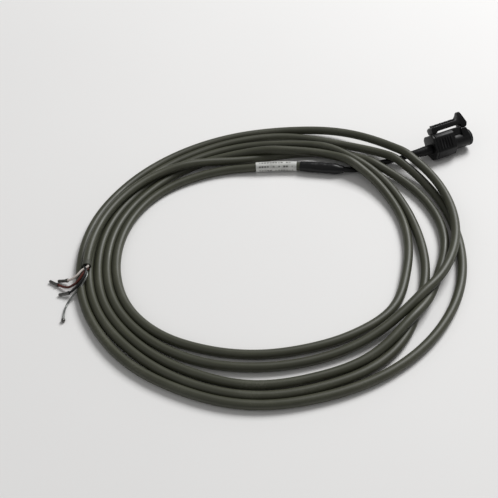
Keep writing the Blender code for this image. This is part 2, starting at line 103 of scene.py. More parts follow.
class Value:
    """A socket that takes part in Python arithmetic; each operation adds a Math node."""

    def __init__(self, sheet: "NodeSheet", socket: bpy.types.NodeSocket) -> None:
        """Wrap a socket of a sheet's tree."""
        self.sheet = sheet
        self.socket = socket

    def math(self, operation: str, *operands: "Value | float") -> "Value":
        """Add a Math node on this value and return its result.

        Args:
            operation: the Math node's operation.
            operands: the values of its further sockets.

        Returns:
            The node's result.
        """
        made = self.sheet.node("ShaderNodeMath", {"operation": operation}, dict(enumerate((self, *operands))))
        return Value(self.sheet, made.outputs[0])

    def __add__(self, other: "Value | float") -> "Value":
        """self + other."""
        return self.math("ADD", other)

    def __radd__(self, other: float) -> "Value":
        """other + self."""
        return self.math("ADD", other)

    def __sub__(self, other: "Value | float") -> "Value":
        """self - other."""
        return self.math("SUBTRACT", other)

    def __rsub__(self, other: float) -> "Value":
        """other - self."""
        return (self * -1.0) + other

    def __mul__(self, other: "Value | float") -> "Value":
        """self * other."""
        return self.math("MULTIPLY", other)

    def __rmul__(self, other: float) -> "Value":
        """other * self."""
        return self.math("MULTIPLY", other)

    def __truediv__(self, other: "Value | float") -> "Value":
        """self / other."""
        return self.math("DIVIDE", other)

    def __gt__(self, other: "Value | float") -> "Value":
        """1 where self is greater than other, else 0."""
        return self.math("GREATER_THAN", other)

    def between(self, low: float, high: float) -> "Value":
        """A smooth step from 0 at low to 1 at high.

        Args:
            low: the value where the step starts.
            high: the value where it ends.

        Returns:
            The step's value.
        """
        made = self.sheet.node("ShaderNodeMapRange", {"interpolation_type": "SMOOTHSTEP"},
                               {"Value": self, "From Min": low, "From Max": high})
        return Value(self.sheet, made.outputs["Result"])


class NodeSheet:
    """A node tree with one method that makes any node."""

    def __init__(self, tree: bpy.types.NodeTree) -> None:
        """Work on a tree."""
        self.tree = tree

    def node(self, kind: str, settings: dict | None = None, sockets: dict | None = None) -> bpy.types.Node:
        """Make a node, give it its settings, then the values or links of its sockets.

        Args:
            kind: the node's type.
            settings: its properties, with a colour ramp's stops under "stops".
            sockets: input name or number to a plain value, a socket or a Value.

        Returns:
            The new node.
        """
        made = self.tree.nodes.new(kind)
        for key, value in (settings or {}).items():
            if key == "stops":
                self._set_stops(made.color_ramp, value)
            else:
                setattr(made, key, value)
        for key, value in (sockets or {}).items():
            self.give(made.inputs[key], value)
        return made

    def give(self, socket: bpy.types.NodeSocket, value: object) -> None:
        """Link or set an input socket.

        Args:
            socket: the input.
            value: a plain value, a socket or a Value.
        """
        value = value.socket if isinstance(value, Value) else value
        if isinstance(value, bpy.types.NodeSocket):
            self.tree.links.new(value, socket)
        else:
            socket.default_value = value

    def vector(self, x: object, y: object, z: object) -> bpy.types.NodeSocket:
        """Three values as a vector."""
        return self.node("ShaderNodeCombineXYZ", None, {0: x, 1: y, 2: z}).outputs[0]

    @staticmethod
    def _set_stops(ramp: bpy.types.ColorRamp, stops: Sequence[tuple[float, Sequence[float]]]) -> None:
        """Give a colour ramp its stops, each a place and a colour.

        Args:
            ramp: the colour ramp.
            stops: each stop's place and colour.
        """
        while len(ramp.elements) < len(stops):
            ramp.elements.new(1.0)
        for element, (place, colour) in zip(ramp.elements, stops):
            element.position = place
            element.color = (*colour, 1.0)


class ShaderSheet(NodeSheet):
    """One material: a Principled shader and the nodes that feed it."""

    def __init__(self, name: str) -> None:
        """Start a material with an empty tree and its shader.

        Args:
            name: the material's name.
        """
        self.material = bpy.data.materials.new(name)
        self.material.use_nodes = True
        super().__init__(self.material.node_tree)
        self.tree.nodes.clear()
        self.shader = self.node("ShaderNodeBsdfPrincipled")
        self.node("ShaderNodeOutputMaterial", None, {"Surface": self.shader.outputs["BSDF"]})

    def place(self) -> bpy.types.NodeSocket:
        """The point's own Object coordinates, in metres."""
        return self.node("ShaderNodeTexCoord").outputs["Object"]

    def attribute(self, name: str) -> bpy.types.Node:
        """An Attribute node on a named attribute of the piece."""
        return self.node("ShaderNodeAttribute", {"attribute_name": name})

    def noise(self, vector: object, scale: float, detail: float = 2.0, roughness: float = 0.5) -> Value:
        """A noise pattern from 0 to 1.

        Args:
            vector: where it is read.
            scale: features per metre, where the vector is in metres.
            detail: the number of finer layers.
            roughness: how strong the finer layers are.

        Returns:
            The noise's value.
        """
        made = self.node("ShaderNodeTexNoise", None,
                         {"Vector": vector, "Scale": scale, "Detail": detail, "Roughness": roughness})
        return Value(self, made.outputs["Fac"])

    def parts(self, vector: object) -> list[Value]:
        """A vector's three values."""
        made = self.node("ShaderNodeSeparateXYZ", None, {0: vector})
        return [Value(self, socket) for socket in made.outputs]

    def mix(self, low: object, high: object, share: Value) -> bpy.types.NodeSocket:
        """A colour between two others, each a socket or three numbers.

        Args:
            low: the colour where the share is 0.
            high: the colour where the share is 1.
            share: how much of the second colour shows.

        Returns:
            The colour.
        """
        low, high = [(*c, 1.0) if isinstance(c, tuple) else c for c in (low, high)]
        made = self.node("ShaderNodeMix", {"data_type": "RGBA", "clamp_factor": True},
                         {0: share, 6: low, 7: high})
        return made.outputs[2]

    def feed(self, **sockets: object) -> None:
        """Set or link the shader's sockets, their names written with underscores.

        Args:
            sockets: socket name to a plain value, a socket or a Value.
        """
        for key, value in sockets.items():
            self.give(self.shader.inputs[key.replace("_", " ")], value)

    def relief(self, height: Value, depth: float, strength: float = 1.0) -> None:
        """Feed a bump of a height pattern to the shader.

        Args:
            height: the pattern, from 0 to 1.
            depth: how deep it is, in metres.
            strength: how much of it shows.
        """
        made = self.node("ShaderNodeBump", None, {"Height": height, "Distance": depth, "Strength": strength})
        self.feed(Normal=made.outputs["Normal"])


def shade(colour: Point, factor: float) -> Point:
    """A colour made lighter or darker."""
    return tuple(min(1.0, channel * factor) for channel in colour)


# ---------------------------------------------------------------- finishes

@dataclass(frozen=True)
class Finish:
    """A surface finish: its name, main colour and roughness."""

    name: str
    colour: Point
    roughness: float

    def material(self) -> bpy.types.Material:
        """The finish's material, made the first time it is asked for.

        Returns:
            The material.
        """
        made = bpy.data.materials.get(self.name)
        if made is None:
            sheet = ShaderSheet(self.name)
            self.dress(sheet)
            made = sheet.material
        return made

    def dress(self, sheet: ShaderSheet) -> None:
        """Build the finish's nodes; each kind of finish has its own."""
        raise NotImplementedError


@dataclass(frozen=True)
class MouldedPlastic(Finish):
    """Injection-moulded plastic: spark-eroded grain, faint flow marks, scuffs that catch the light."""

    grain: float = 3600.0
    grain_depth: float = 0.00004
    wear: float = 0.5
    shine: float = 0.22

    def dress(self, sheet: ShaderSheet) -> None:
        """Build the moulded plastic's nodes.

        Args:
            sheet: the material's sheet.
        """
        place = sheet.place()
        cloud = sheet.noise(place, 160.0, 3.0)
        grain = sheet.noise(place, self.grain, 2.0, 0.6)
        x, y, z = sheet.parts(place)
        streak = sheet.noise(sheet.vector(x * 350.0, y * 2600.0, z * 2600.0), 1.0, 3.0, 0.65)
        scuff = streak.between(0.62, 0.75) * cloud.between(0.42, 0.62)
        edge = Value(sheet, sheet.node("ShaderNodeNewGeometry").outputs["Pointiness"]).between(0.52, 0.60)
        worn = (scuff * 0.5 + edge * cloud.between(0.35, 0.6)) * self.wear
        tone = sheet.mix(shade(self.colour, 0.8), shade(self.colour, 1.35), cloud)
        sheet.feed(Base_Color=sheet.mix(tone, (0.035, 0.035, 0.037), worn * 0.8),
                   Roughness=self.roughness + (cloud - 0.5) * 0.16 + (grain - 0.5) * 0.12 + worn * 0.12,
                   Specular_IOR_Level=self.shine)
        sheet.relief(grain * 0.8 + scuff * 0.4, self.grain_depth, 0.6)


@dataclass(frozen=True)
class CableSheath(Finish):
    """Extruded matt sheath: drawing lines along it, the lay of the cores under it, dust and rub marks."""

    lay_length: float = 0.042
    lay_depth: float = 0.00006
    dust: float = 0.35

    def dress(self, sheet: ShaderSheet) -> None:
        """Build the sheath's nodes, which follow the cable by its own attributes.

        Args:
            sheet: the material's sheet.
        """
        place = sheet.place()
        along = Value(sheet, sheet.attribute("along").outputs["Fac"])
        around = sheet.attribute("around").outputs["Vector"]
        across, over, _ = sheet.parts(around)
        lines = sheet.noise(sheet.vector(along * 9.0, across * 6.0, over * 6.0), 1.0, 4.0, 0.7)
        turn = along * (2 * math.pi / self.lay_length)
        wave = across * turn.math("COSINE") + over * turn.math("SINE")
        cloud = sheet.noise(place, 55.0, 4.0, 0.6)
        speck = sheet.noise(place, 1500.0, 3.0, 0.65)
        rubs = sheet.vector(along * 60.0, across * 1.6, over * 1.6)
        rubbed = sheet.noise(rubs, 1.0, 3.0, 0.6).between(0.55, 0.75)
        dusty = cloud.between(0.45, 0.75) * speck.between(0.4, 0.7) * self.dust
        tone = sheet.mix(shade(self.colour, 0.55), shade(self.colour, 1.5), lines * 0.6 + cloud * 0.4)
        tone = sheet.mix(tone, shade(self.colour, 2.0), rubbed * 0.4)
        sheet.feed(Base_Color=sheet.mix(tone, (0.30, 0.29, 0.25), dusty * 0.4),
                   Roughness=self.roughness + (lines - 0.5) * 0.14 + dusty * 0.2 - rubbed * 0.10,
                   Specular_IOR_Level=0.5)
        sheet.relief(wave * 0.5 + lines * 0.25 + speck * 0.12, self.lay_depth, 0.7)


@dataclass(frozen=True)
class SmoothSheath(Finish):
    """Thin smooth sheath or core insulation: a soft gloss with slight waves and handling marks."""

    mottle: float = 0.25
    gloss: float = 0.0
    shine: float = 0.3

    def dress(self, sheet: ShaderSheet) -> None:
        """Build the smooth sheath's nodes.

        Args:
            sheet: the material's sheet.
        """
        place = sheet.place()
        along = Value(sheet, sheet.attribute("along").outputs["Fac"])
        across, over, _ = sheet.parts(sheet.attribute("around").outputs["Vector"])
        lines = sheet.noise(sheet.vector(along * 14.0, across * 5.0, over * 5.0), 1.0, 3.0, 0.65)
        cloud = sheet.noise(place, 240.0, 3.0, 0.6)
        tone = sheet.mix(shade(self.colour, 1 - self.mottle), shade(self.colour, 1 + self.mottle),
                         lines * 0.5 + cloud * 0.5)
        sheet.feed(Base_Color=tone, Roughness=self.roughness + (cloud - 0.5) * 0.18 + (lines - 0.5) * 0.1,
                   Coat_Weight=self.gloss, Coat_Roughness=0.2, Specular_IOR_Level=self.shine)
        sheet.relief(lines * 0.5 + cloud * 0.5, 0.00004, 0.5)


@dataclass(frozen=True)
class ShrunkSleeve(Finish):
    """Heat-shrunk tubing: satin, drawn tight with fine rings and dimples, paler where it stretched."""

    def dress(self, sheet: ShaderSheet) -> None:
        """Build the shrunk sleeve's nodes.

        Args:
            sheet: the material's sheet.
        """
        place = sheet.place()
        along = Value(sheet, sheet.attribute("along").outputs["Fac"])
        across, over, _ = sheet.parts(sheet.attribute("around").outputs["Vector"])
        rings = sheet.noise(sheet.vector(along * 900.0, across * 0.8, over * 0.8), 1.0, 3.0, 0.6)
        dimple = sheet.noise(place, 620.0, 3.0, 0.55)
        stretched = sheet.noise(place, 130.0, 2.0).between(0.5, 0.7)
        tone = sheet.mix(shade(self.colour, 0.8), shade(self.colour, 1.5), stretched * 0.6 + rings * 0.3)
        sheet.feed(Base_Color=tone, Roughness=self.roughness + (dimple - 0.5) * 0.2 + (rings - 0.5) * 0.1,
                   Specular_IOR_Level=0.3)
        sheet.relief(rings * 0.45 + dimple * 0.55, 0.00012, 0.8)


@dataclass(frozen=True)
class PrintedLabel(Finish):
    """A whitish marker sleeve with rows of worn grey dashes that stand for its print."""

    ink: Point = (0.045, 0.046, 0.042)
    cell: float = 0.0015
    reach: float = 0.0268
    start: float = 0.0080

    def dress(self, sheet: ShaderSheet) -> None:
        """Build the label's nodes: base, print and grime.

        Args:
            sheet: the material's sheet.
        """
        place = sheet.place()
        along = Value(sheet, sheet.attribute("along").outputs["Fac"])
        across, over, _ = sheet.parts(sheet.attribute("around").outputs["Vector"])
        angle = over.math("ARCTAN2", across) * (1 / math.tau)
        row = angle * 7.0 + 0.5
        line = row.math("FRACT")
        cells = along / self.cell
        keep = sheet.noise(sheet.vector(cells.math("FLOOR") * 7.3, row.math("FLOOR") * 3.1, 0.0), 1.0, 0.0)
        dash = (cells.math("FRACT") > 0.24) * (line > 0.30) * (1 - (line > 0.68)) * (keep > 0.42)
        inside = (along > self.start) * (1 - (along > self.reach))
        worn = sheet.noise(place, 260.0, 2.0, 0.5).between(0.25, 0.55)
        grime = sheet.noise(place, 210.0, 4.0, 0.65)
        tone = sheet.mix(shade(self.colour, 0.78), self.colour, grime.between(0.3, 0.62))
        sheet.feed(Base_Color=sheet.mix(tone, self.ink, dash * inside * worn * 0.9),
                   Roughness=self.roughness + (grime - 0.5) * 0.25)
        sheet.relief(grime * 0.7 + dash * inside * 0.2, 0.00004, 0.6)


@dataclass(frozen=True)
class SoftRubber(Finish):
    """Matt moulded rubber with a fine skin and pale bloom."""

    def dress(self, sheet: ShaderSheet) -> None:
        """Build the rubber's nodes.

        Args:
            sheet: the material's sheet.
        """
        place = sheet.place()
        skin = sheet.noise(place, 5200.0, 2.0, 0.6)
        bloom = sheet.noise(place, 420.0, 4.0, 0.6).between(0.5, 0.75)
        sheet.feed(Base_Color=sheet.mix(self.colour, shade(self.colour, 2.1), bloom * 0.6),
                   Roughness=self.roughness + bloom * 0.12 + (skin - 0.5) * 0.1)
        sheet.relief(skin, 0.00003, 0.6)


@dataclass(frozen=True)
class TinnedMetal(Finish):
    """Tinned or bare metal: fine drawing lines, dull patches and scattered dark specks."""

    lines: float = 5200.0

    def dress(self, sheet: ShaderSheet) -> None:
        """Build the metal's nodes.

        Args:
            sheet: the material's sheet.
        """
        place = sheet.place()
        x, y, z = sheet.parts(place)
        lines = sheet.vector(x * self.lines * 0.12, y * self.lines, z * self.lines)
        drawn = sheet.noise(lines, 1.0, 2.0, 0.6)
        dull = sheet.noise(place, 700.0, 4.0, 0.65).between(0.42, 0.7)
        speck = sheet.noise(place, 2600.0, 3.0, 0.7).between(0.62, 0.72)
        tone = sheet.mix(self.colour, shade(self.colour, 0.62), dull * 0.7)
        sheet.feed(Base_Color=sheet.mix(tone, (0.10, 0.095, 0.085), speck * 0.5), Metallic=1 - speck * 0.35,
                   Roughness=self.roughness + dull * 0.22 + (drawn - 0.5) * 0.12)
        sheet.relief(drawn * 0.7 - speck * 0.5, 0.00002, 0.6)


@dataclass(frozen=True)
class PaleFloor(Finish):
    """A plain pale studio sheet with the faintest unevenness."""

    def dress(self, sheet: ShaderSheet) -> None:
        """Build the floor's nodes.

        Args:
            sheet: the material's sheet.
        """
        cloud = sheet.noise(sheet.place(), 7.0, 3.0)
        sheet.feed(Base_Color=sheet.mix(shade(self.colour, 0.97), self.colour, cloud),
                   Roughness=self.roughness)


PLUG_PLASTIC = MouldedPlastic("moulded_plug_black", (0.0035, 0.0035, 0.0038), 0.4)
LATCH_PLASTIC = MouldedPlastic("moulded_latch_black", (0.0038, 0.0038, 0.0041), 0.36, wear=0.7)
BOOT_PLASTIC = MouldedPlastic("soft_boot_black", (0.004, 0.004, 0.0043), 0.5, grain=2800.0, wear=0.2)
INSERT_PLASTIC = MouldedPlastic("moulded_insert_grey", (0.06, 0.06, 0.062), 0.5, grain=4400.0, wear=0.3)
CABLE_SHEATH = CableSheath("matt_olive_grey_sheath", (0.041, 0.043, 0.026), 0.46)
CUT_SHEATH = CableSheath("cut_sheath_edge", (0.045, 0.046, 0.034), 0.62, lay_depth=0.00002)
LEAD_SHEATH = SmoothSheath("smooth_black_sheath", (0.005, 0.005, 0.0055), 0.42)
BLACK_CORE = SmoothSheath("black_core", (0.007, 0.007, 0.008), 0.34, gloss=0.2)
WHITE_CORE = SmoothSheath("white_core", (0.66, 0.60, 0.56), 0.38, mottle=0.08, gloss=0.2)
BROWN_CORE = SmoothSheath("brown_core", (0.085, 0.016, 0.010), 0.36, mottle=0.15, gloss=0.2)
SPLICE_SLEEVE = ShrunkSleeve("shrunk_black_sleeve", (0.005, 0.005, 0.0055), 0.36)
MARKER = PrintedLabel("marker_sleeve_white", (0.62, 0.625, 0.60), 0.46)
SEAL_RUBBER = SoftRubber("black_seal_rubber", (0.02, 0.02, 0.021), 0.62)
CONTACT_METAL = TinnedMetal("tinned_contact", (0.60, 0.59, 0.56), 0.3)
# Ferrule and drain-tip metal: a tin grey darkened with painted shade. Its dark colour stands for the shadow
# that the ferrules and the drain tip lie in.
FERRULE_METAL_WITH_PAINTED_SHADE = TinnedMetal("tinned_ferrule_with_painted_shade", (0.14, 0.138, 0.132), 0.34)
STRAND_METAL = TinnedMetal("tinned_strand", (0.24, 0.25, 0.24), 0.42)
FLOOR = PaleFloor("pale_studio_floor", (0.83, 0.825, 0.82), 0.7)


# ---------------------------------------------------------------- paths and meshes

def smooth_route(points: Sequence[Point], steps: int = 12) -> np.ndarray:
    """Points along the smooth curve through a route's own points.

    Args:
        points: the route's points.
        steps: points made for each stretch between two of them.

    Returns:
        One row for each point.
    """
    ends = np.array(points, float)
    ends = np.vstack([2 * ends[0] - ends[1], ends, 2 * ends[-1] - ends[-2]])
    made = []
    for a, b, c, d in zip(ends, ends[1:], ends[2:], ends[3:]):
        for t in np.arange(steps) / steps:
            made.append(0.5 * (2 * b + (c - a) * t + (2 * a - 5 * b + 4 * c - d) * t ** 2
                               + (3 * b - 3 * c + d - a) * t ** 3))
    return np.vstack([made, ends[-2]])


def evenly(points: np.ndarray, spacing: float) -> np.ndarray:
    """The same line with its points evenly spaced, about spacing apart.

    Args:
        points: the line's points, one row each.
        spacing: about how far apart the new points are.

    Returns:
        The new points.
    """
    reach = np.concatenate([[0.0], np.cumsum(np.linalg.norm(np.diff(points, axis=0), axis=1))])
    stations = np.linspace(0.0, reach[-1], max(2, round(reach[-1] / spacing)) + 1)
    return np.stack([np.interp(stations, reach, points[:, axis]) for axis in range(points.shape[1])], 1)


def evened(rows: np.ndarray, reach: int) -> np.ndarray:
    """Each column averaged along its rows with weights that fall off over reach rows each way.

    Args:
        rows: the columns to even out.
        reach: how many rows each way count.

    Returns:
        The evened columns.
    """
    weights = np.hanning(2 * reach + 3)[1:-1]
    weights = weights / weights.sum()
    padded = np.pad(rows, ((reach, reach), (0, 0)), mode="reflect", reflect_type="odd")
    return np.stack([np.convolve(column, weights, mode="valid") for column in padded.T], 1)


def placed(points: np.ndarray, place: Matrix) -> np.ndarray:
    """Points in millimetres of a frame as points in metres of the row frame."""
    turn = np.array(place.to_3x3())
    return points * MM @ turn.T + np.array(place.translation)


class Line:
    """A line in space with its length and a frame that turns with it and never twists."""

    def __init__(self, points: np.ndarray, up: Point = (0.0, 0.0, 1.0)) -> None:
        """Work out the frames.

        Args:
            points: the line's points, one row each.
            up: which way the frame's first side starts.
        """
        self.points = points
        steps = np.diff(points, axis=0)
        self.reach = np.concatenate([[0.0], np.cumsum(np.linalg.norm(steps, axis=1))])
        tangents = np.vstack([steps[:1], steps[1:] + steps[:-1], steps[-1:]])
        self.tangents = tangents / np.linalg.norm(tangents, axis=1)[:, None]
        side = np.array(up, float)
        self.sides = np.empty_like(points)
        for index, tangent in enumerate(self.tangents):
            side = side - tangent * (side @ tangent)
            side = side / np.linalg.norm(side)
            self.sides[index] = side

    @property
    def length(self) -> float:
        """The line's whole length."""
        return float(self.reach[-1])

    def at(self, station: float) -> tuple[np.ndarray, np.ndarray, np.ndarray, np.ndarray]:
        """The point, tangent and two sides at a station, carried on straight past either end.

        Args:
            station: how far along the line it is, in metres.

        Returns:
            The point, the tangent and the two sides.
        """
        inside = min(max(station, 0.0), self.length)
        found = [np.array([np.interp(inside, self.reach, rows[:, axis]) for axis in range(3)])
                 for rows in (self.points, self.tangents, self.sides)]
        point, tangent, side = found
        tangent = tangent / np.linalg.norm(tangent)
        side = side - tangent * (side @ tangent)
        side = side / np.linalg.norm(side)
        return point + tangent * (station - inside), tangent, side, np.cross(tangent, side)


def straight(start: float, end: float, place: Matrix) -> Line:
    """A straight line along a frame's x axis between two stations in millimetres."""
    points = placed(np.array([(start, 0.0, 0.0), ((start + end) / 2, 0.0, 0.0), (end, 0.0, 0.0)]), place)
    return Line(points, tuple(place.to_3x3() @ Vector((0, 0, 1))))


def softened(outline: Sequence[Pair], radius: float, steps: int = 4) -> list[Pair]:
    """A closed outline with its corners rounded.

    Args:
        outline: the corners in order.
        radius: how far each rounding starts from its corner, at most.
        steps: points added for each rounding.

    Returns:
        The rounded outline.
    """
    corners = [np.array(corner, float) for corner in outline]
    made = []
    for before, corner, after in zip(corners[-1:] + corners[:-1], corners, corners[1:] + corners[:1]):
        back, ahead = before - corner, after - corner
        trim = min(radius, 0.45 * np.linalg.norm(back), 0.45 * np.linalg.norm(ahead))
        start = corner + back / np.linalg.norm(back) * trim
        end = corner + ahead / np.linalg.norm(ahead) * trim
        for t in np.linspace(0.0, 1.0, steps + 1):
            made.append(tuple((1 - t) ** 2 * start + 2 * t * (1 - t) * corner + t * t * end))
    return made


def piece_from(name: str, bm: bmesh.types.BMesh, finish: Finish, sharp: float = 35.0) -> bpy.types.Object:
    """A named object from a bmesh, its faces pointing out and its flat faces shaded flat.

    Args:
        name: the piece's name.
        bm: the mesh, in the row frame.
        finish: its finish.
        sharp: edges turned by more than this angle, in degrees, stay sharp.

    Returns:
        The object.
    """
    bmesh.ops.remove_doubles(bm, verts=bm.verts, dist=1e-7)
    bmesh.ops.recalc_face_normals(bm, faces=bm.faces)
    if bm.calc_volume(signed=True) < 0:
        bmesh.ops.reverse_faces(bm, faces=bm.faces)
    mesh = bpy.data.meshes.new(name)
    bm.to_mesh(mesh)
    bm.free()
    return piece_of(name, mesh, finish, sharp)


def piece_of(name: str, mesh: bpy.types.Mesh, finish: Finish, sharp: float = 35.0) -> bpy.types.Object:
    """A named object of a finished mesh, with its finish.

    Args:
        name: the piece's name.
        mesh: its finished mesh.
        finish: its finish.
        sharp: edges turned by more than this angle, in degrees, stay sharp.

    Returns:
        The object.
    """
    mesh.name = name
    mesh.shade_smooth()
    mesh.set_sharp_from_angle(angle=math.radians(sharp))
    mesh.materials.clear()
    mesh.materials.append(finish.material())
    made = bpy.data.objects.new(name, mesh)
    bpy.context.scene.collection.objects.link(made)
    return made


def plain_mesh(host: bpy.types.Object) -> bpy.types.Mesh:
    """The host's evaluated mesh on its own; the host is removed.

    Args:
        host: the object with its modifier.

    Returns:
        The mesh.
    """
    bpy.context.view_layer.update()
    mesh = bpy.data.meshes.new_from_object(host.evaluated_get(bpy.context.evaluated_depsgraph_get()))
    old = host.data
    bpy.data.objects.remove(host, do_unlink=True)
    bpy.data.meshes.remove(old)
    return mesh


def turned(name: str, profile: Sequence[Pair], line: Line, finish: Finish, sides: int = 64,
           swell: Callable[[float, float], float] | None = None, sharp: float = 35.0) -> bpy.types.Object:
    """A closed profile carried round a line: a ring, sleeve, nose or seal.

    Args:
        name: the piece's name.
        profile: closed outline of (station, radius) in millimetres.
        line: the line that it goes round, in metres.
        finish: its finish.
        sides: points round the line.
        swell: extra radius in millimetres at a station and an angle.
        sharp: edges turned by more than this angle stay sharp.

    Returns:
        The object, with the attributes along and around.
    """
    bm = bmesh.new()
    along = bm.verts.layers.float.new("along")
    around = bm.verts.layers.float_vector.new("around")
    angles = [math.tau * k / sides for k in range(sides)]
    rows = []
    for station, radius in profile:
        point, _, side, other = line.at(station * MM)
        row = []
        for angle in angles:
            reach = (radius + (swell(station, angle) if swell else 0.0)) * MM
            vert = bm.verts.new(point + (side * math.cos(angle) + other * math.sin(angle)) * reach)
            vert[along] = station * MM
            vert[around] = (math.cos(angle), math.sin(angle), 0.0)
            row.append(vert)
        rows.append(row)
    for row, onward in zip(rows, rows[1:] + rows[:1]):
        for k in range(sides):
            after = (k + 1) % sides
            bm.faces.new((row[k], row[after], onward[after], onward[k]))
    return piece_from(name, bm, finish, sharp)


def prism(name: str, outline: Sequence[Pair], low: float, high: float, place: Matrix, finish: Finish,
          round_edge: float = 0.25) -> bpy.types.Object:
    """A flat outline with a thickness and rounded rims.

    Args:
        name: the piece's name.
        outline: the outline in the frame's x and y, millimetres.
        low: where the thickness starts along the frame's z.
        high: where it ends.
        place: the frame.
        finish: its finish.
        round_edge: how far the rims are rounded.

    Returns:
        The object.
    """
    bm = bmesh.new()
    face = bm.faces.new([bm.verts.new((x * MM, y * MM, low * MM)) for x, y in outline])
    grown = bmesh.ops.extrude_face_region(bm, geom=[face])
    lifted = [item for item in grown["geom"] if isinstance(item, bmesh.types.BMVert)]
    bmesh.ops.translate(bm, verts=lifted, vec=(0, 0, (high - low) * MM))
    bm.normal_update()
    rims = [edge for edge in bm.edges if abs(edge.verts[0].co.z - edge.verts[1].co.z) < 1e-9]
    if round_edge > 0:
        bmesh.ops.bevel(bm, geom=rims, offset=round_edge * MM, segments=3, profile=0.5, affect="EDGES",
                        clamp_overlap=True)
    bm.transform(place)
    return piece_from(name, bm, finish, 32.0)


# ---------------------------------------------------------------- geometry node tools

class GrowthSheet(NodeSheet):
    """A Geometry Nodes tree with named inputs, whose result is made a plain mesh."""

    def __init__(self, name: str, inputs: dict[str, str]) -> None:
        """Start a tree.

        Args:
            name: the tree's name.
            inputs: input name to its socket type.
        """
        super().__init__(bpy.data.node_groups.new(name, "GeometryNodeTree"))
        new_socket = self.tree.interface.new_socket
        new_socket(name="Geometry", in_out="INPUT", socket_type="NodeSocketGeometry")
        self.keys = {label: new_socket(name=label, in_out="INPUT", socket_type=kind).identifier
                     for label, kind in inputs.items()}
        new_socket(name="Geometry", in_out="OUTPUT", socket_type="NodeSocketGeometry")
        self.group = self.node("NodeGroupInput")
        self.value = {label: Value(self, self.group.outputs[label])
                      for label in inputs if label != "Material"}

    def close(self, geometry: object) -> None:
        """End the tree: instances made real, smooth, with the material of its input.

        Args:
            geometry: the tree's last geometry.
        """
        smooth = self.node("GeometryNodeSetShadeSmooth", None, {0: geometry})
        real = self.node("GeometryNodeRealizeInstances", None, {0: smooth.outputs[0]})
        dressed = self.node("GeometryNodeSetMaterial", None,
                            {0: real.outputs[0], "Material": self.group.outputs["Material"]})
        self.node("NodeGroupOutput", None, {0: dressed.outputs[0]})

    def scaled(self, vector: object, factor: object) -> bpy.types.NodeSocket:
        """A vector times a number."""
        made = self.node("ShaderNodeVectorMath", {"operation": "SCALE"}, {0: vector, "Scale": factor})
        return made.outputs[0]

    def grow(self, name: str, host: bpy.types.Mesh, finish: Finish, **values: float) -> bpy.types.Object:
        """Run the tree on a host mesh and keep the result as a plain piece.

        Args:
            name: the piece's name.
            host: the mesh that the tree starts from.
            finish: the piece's finish.
            values: the tree's named inputs, with spaces written as underscores.

        Returns:
            The object, with no modifier left on it.
        """
        grower = bpy.data.objects.new(name + "_host", host)
        bpy.context.scene.collection.objects.link(grower)
        modifier = grower.modifiers.new("grow", "NODES")
        modifier.node_group = self.tree
        modifier[self.keys["Material"]] = finish.material()
        for label, value in values.items():
            modifier[self.keys[label.replace("_", " ")]] = value
        mesh = plain_mesh(grower)
        bm = bmesh.new()
        bm.from_mesh(mesh)
        bpy.data.meshes.remove(mesh)
        return piece_from(name, bm, finish)


def line_mesh(points: np.ndarray, girth: Sequence[float]) -> bpy.types.Mesh:
    """A host mesh of one open line, with its radius at each point in the attribute girth.

    Args:
        points: the line's points, one row each.
        girth: the radius at each point, in metres.

    Returns:
        The mesh.
    """
    mesh = bpy.data.meshes.new("line")
    mesh.from_pydata([tuple(point) for point in points], [(k, k + 1) for k in range(len(points) - 1)], [])
    mesh.attributes.new("girth", "FLOAT", "POINT").data.foreach_set("value", np.array(girth, np.float32))
    return mesh


def girth_of(sheet: GrowthSheet) -> bpy.types.NodeSocket:
    """The host line's own radius at a point, in a tree."""
    return sheet.node("GeometryNodeInputNamedAttribute", {"data_type": "FLOAT"}, {"Name": "girth"}).outputs[0]


def sweep_tree() -> GrowthSheet:
    """The tree that sweeps a round section along a line and marks where each point lies on it.

    Returns:
        The tree.
    """
    sheet = GrowthSheet("sweep_along_line", {"Sides": "NodeSocketInt", "Material": "NodeSocketMaterial"})
    curve = sheet.node("GeometryNodeMeshToCurve", None, {0: sheet.group.outputs["Geometry"]})
    length = sheet.node("GeometryNodeSplineParameter").outputs["Length"]
    marked = sheet.node("GeometryNodeStoreNamedAttribute", {"data_type": "FLOAT", "domain": "POINT"},
                        {0: curve.outputs[0], "Name": "along", "Value": length})
    circle = sheet.node("GeometryNodeCurvePrimitiveCircle", None,
                        {"Resolution": sheet.value["Sides"], "Radius": 1.0})
    place = sheet.node("GeometryNodeInputPosition").outputs[0]
    section = sheet.node("GeometryNodeStoreNamedAttribute", {"data_type": "FLOAT_VECTOR", "domain": "POINT"},
                         {0: circle.outputs[0], "Name": "around", "Value": place})
    swept = sheet.node("GeometryNodeCurveToMesh", None,
                       {"Curve": marked.outputs[0], "Profile Curve": section.outputs[0],
                        "Scale": girth_of(sheet), "Fill Caps": True})
    sheet.close(swept.outputs[0])
    return sheet


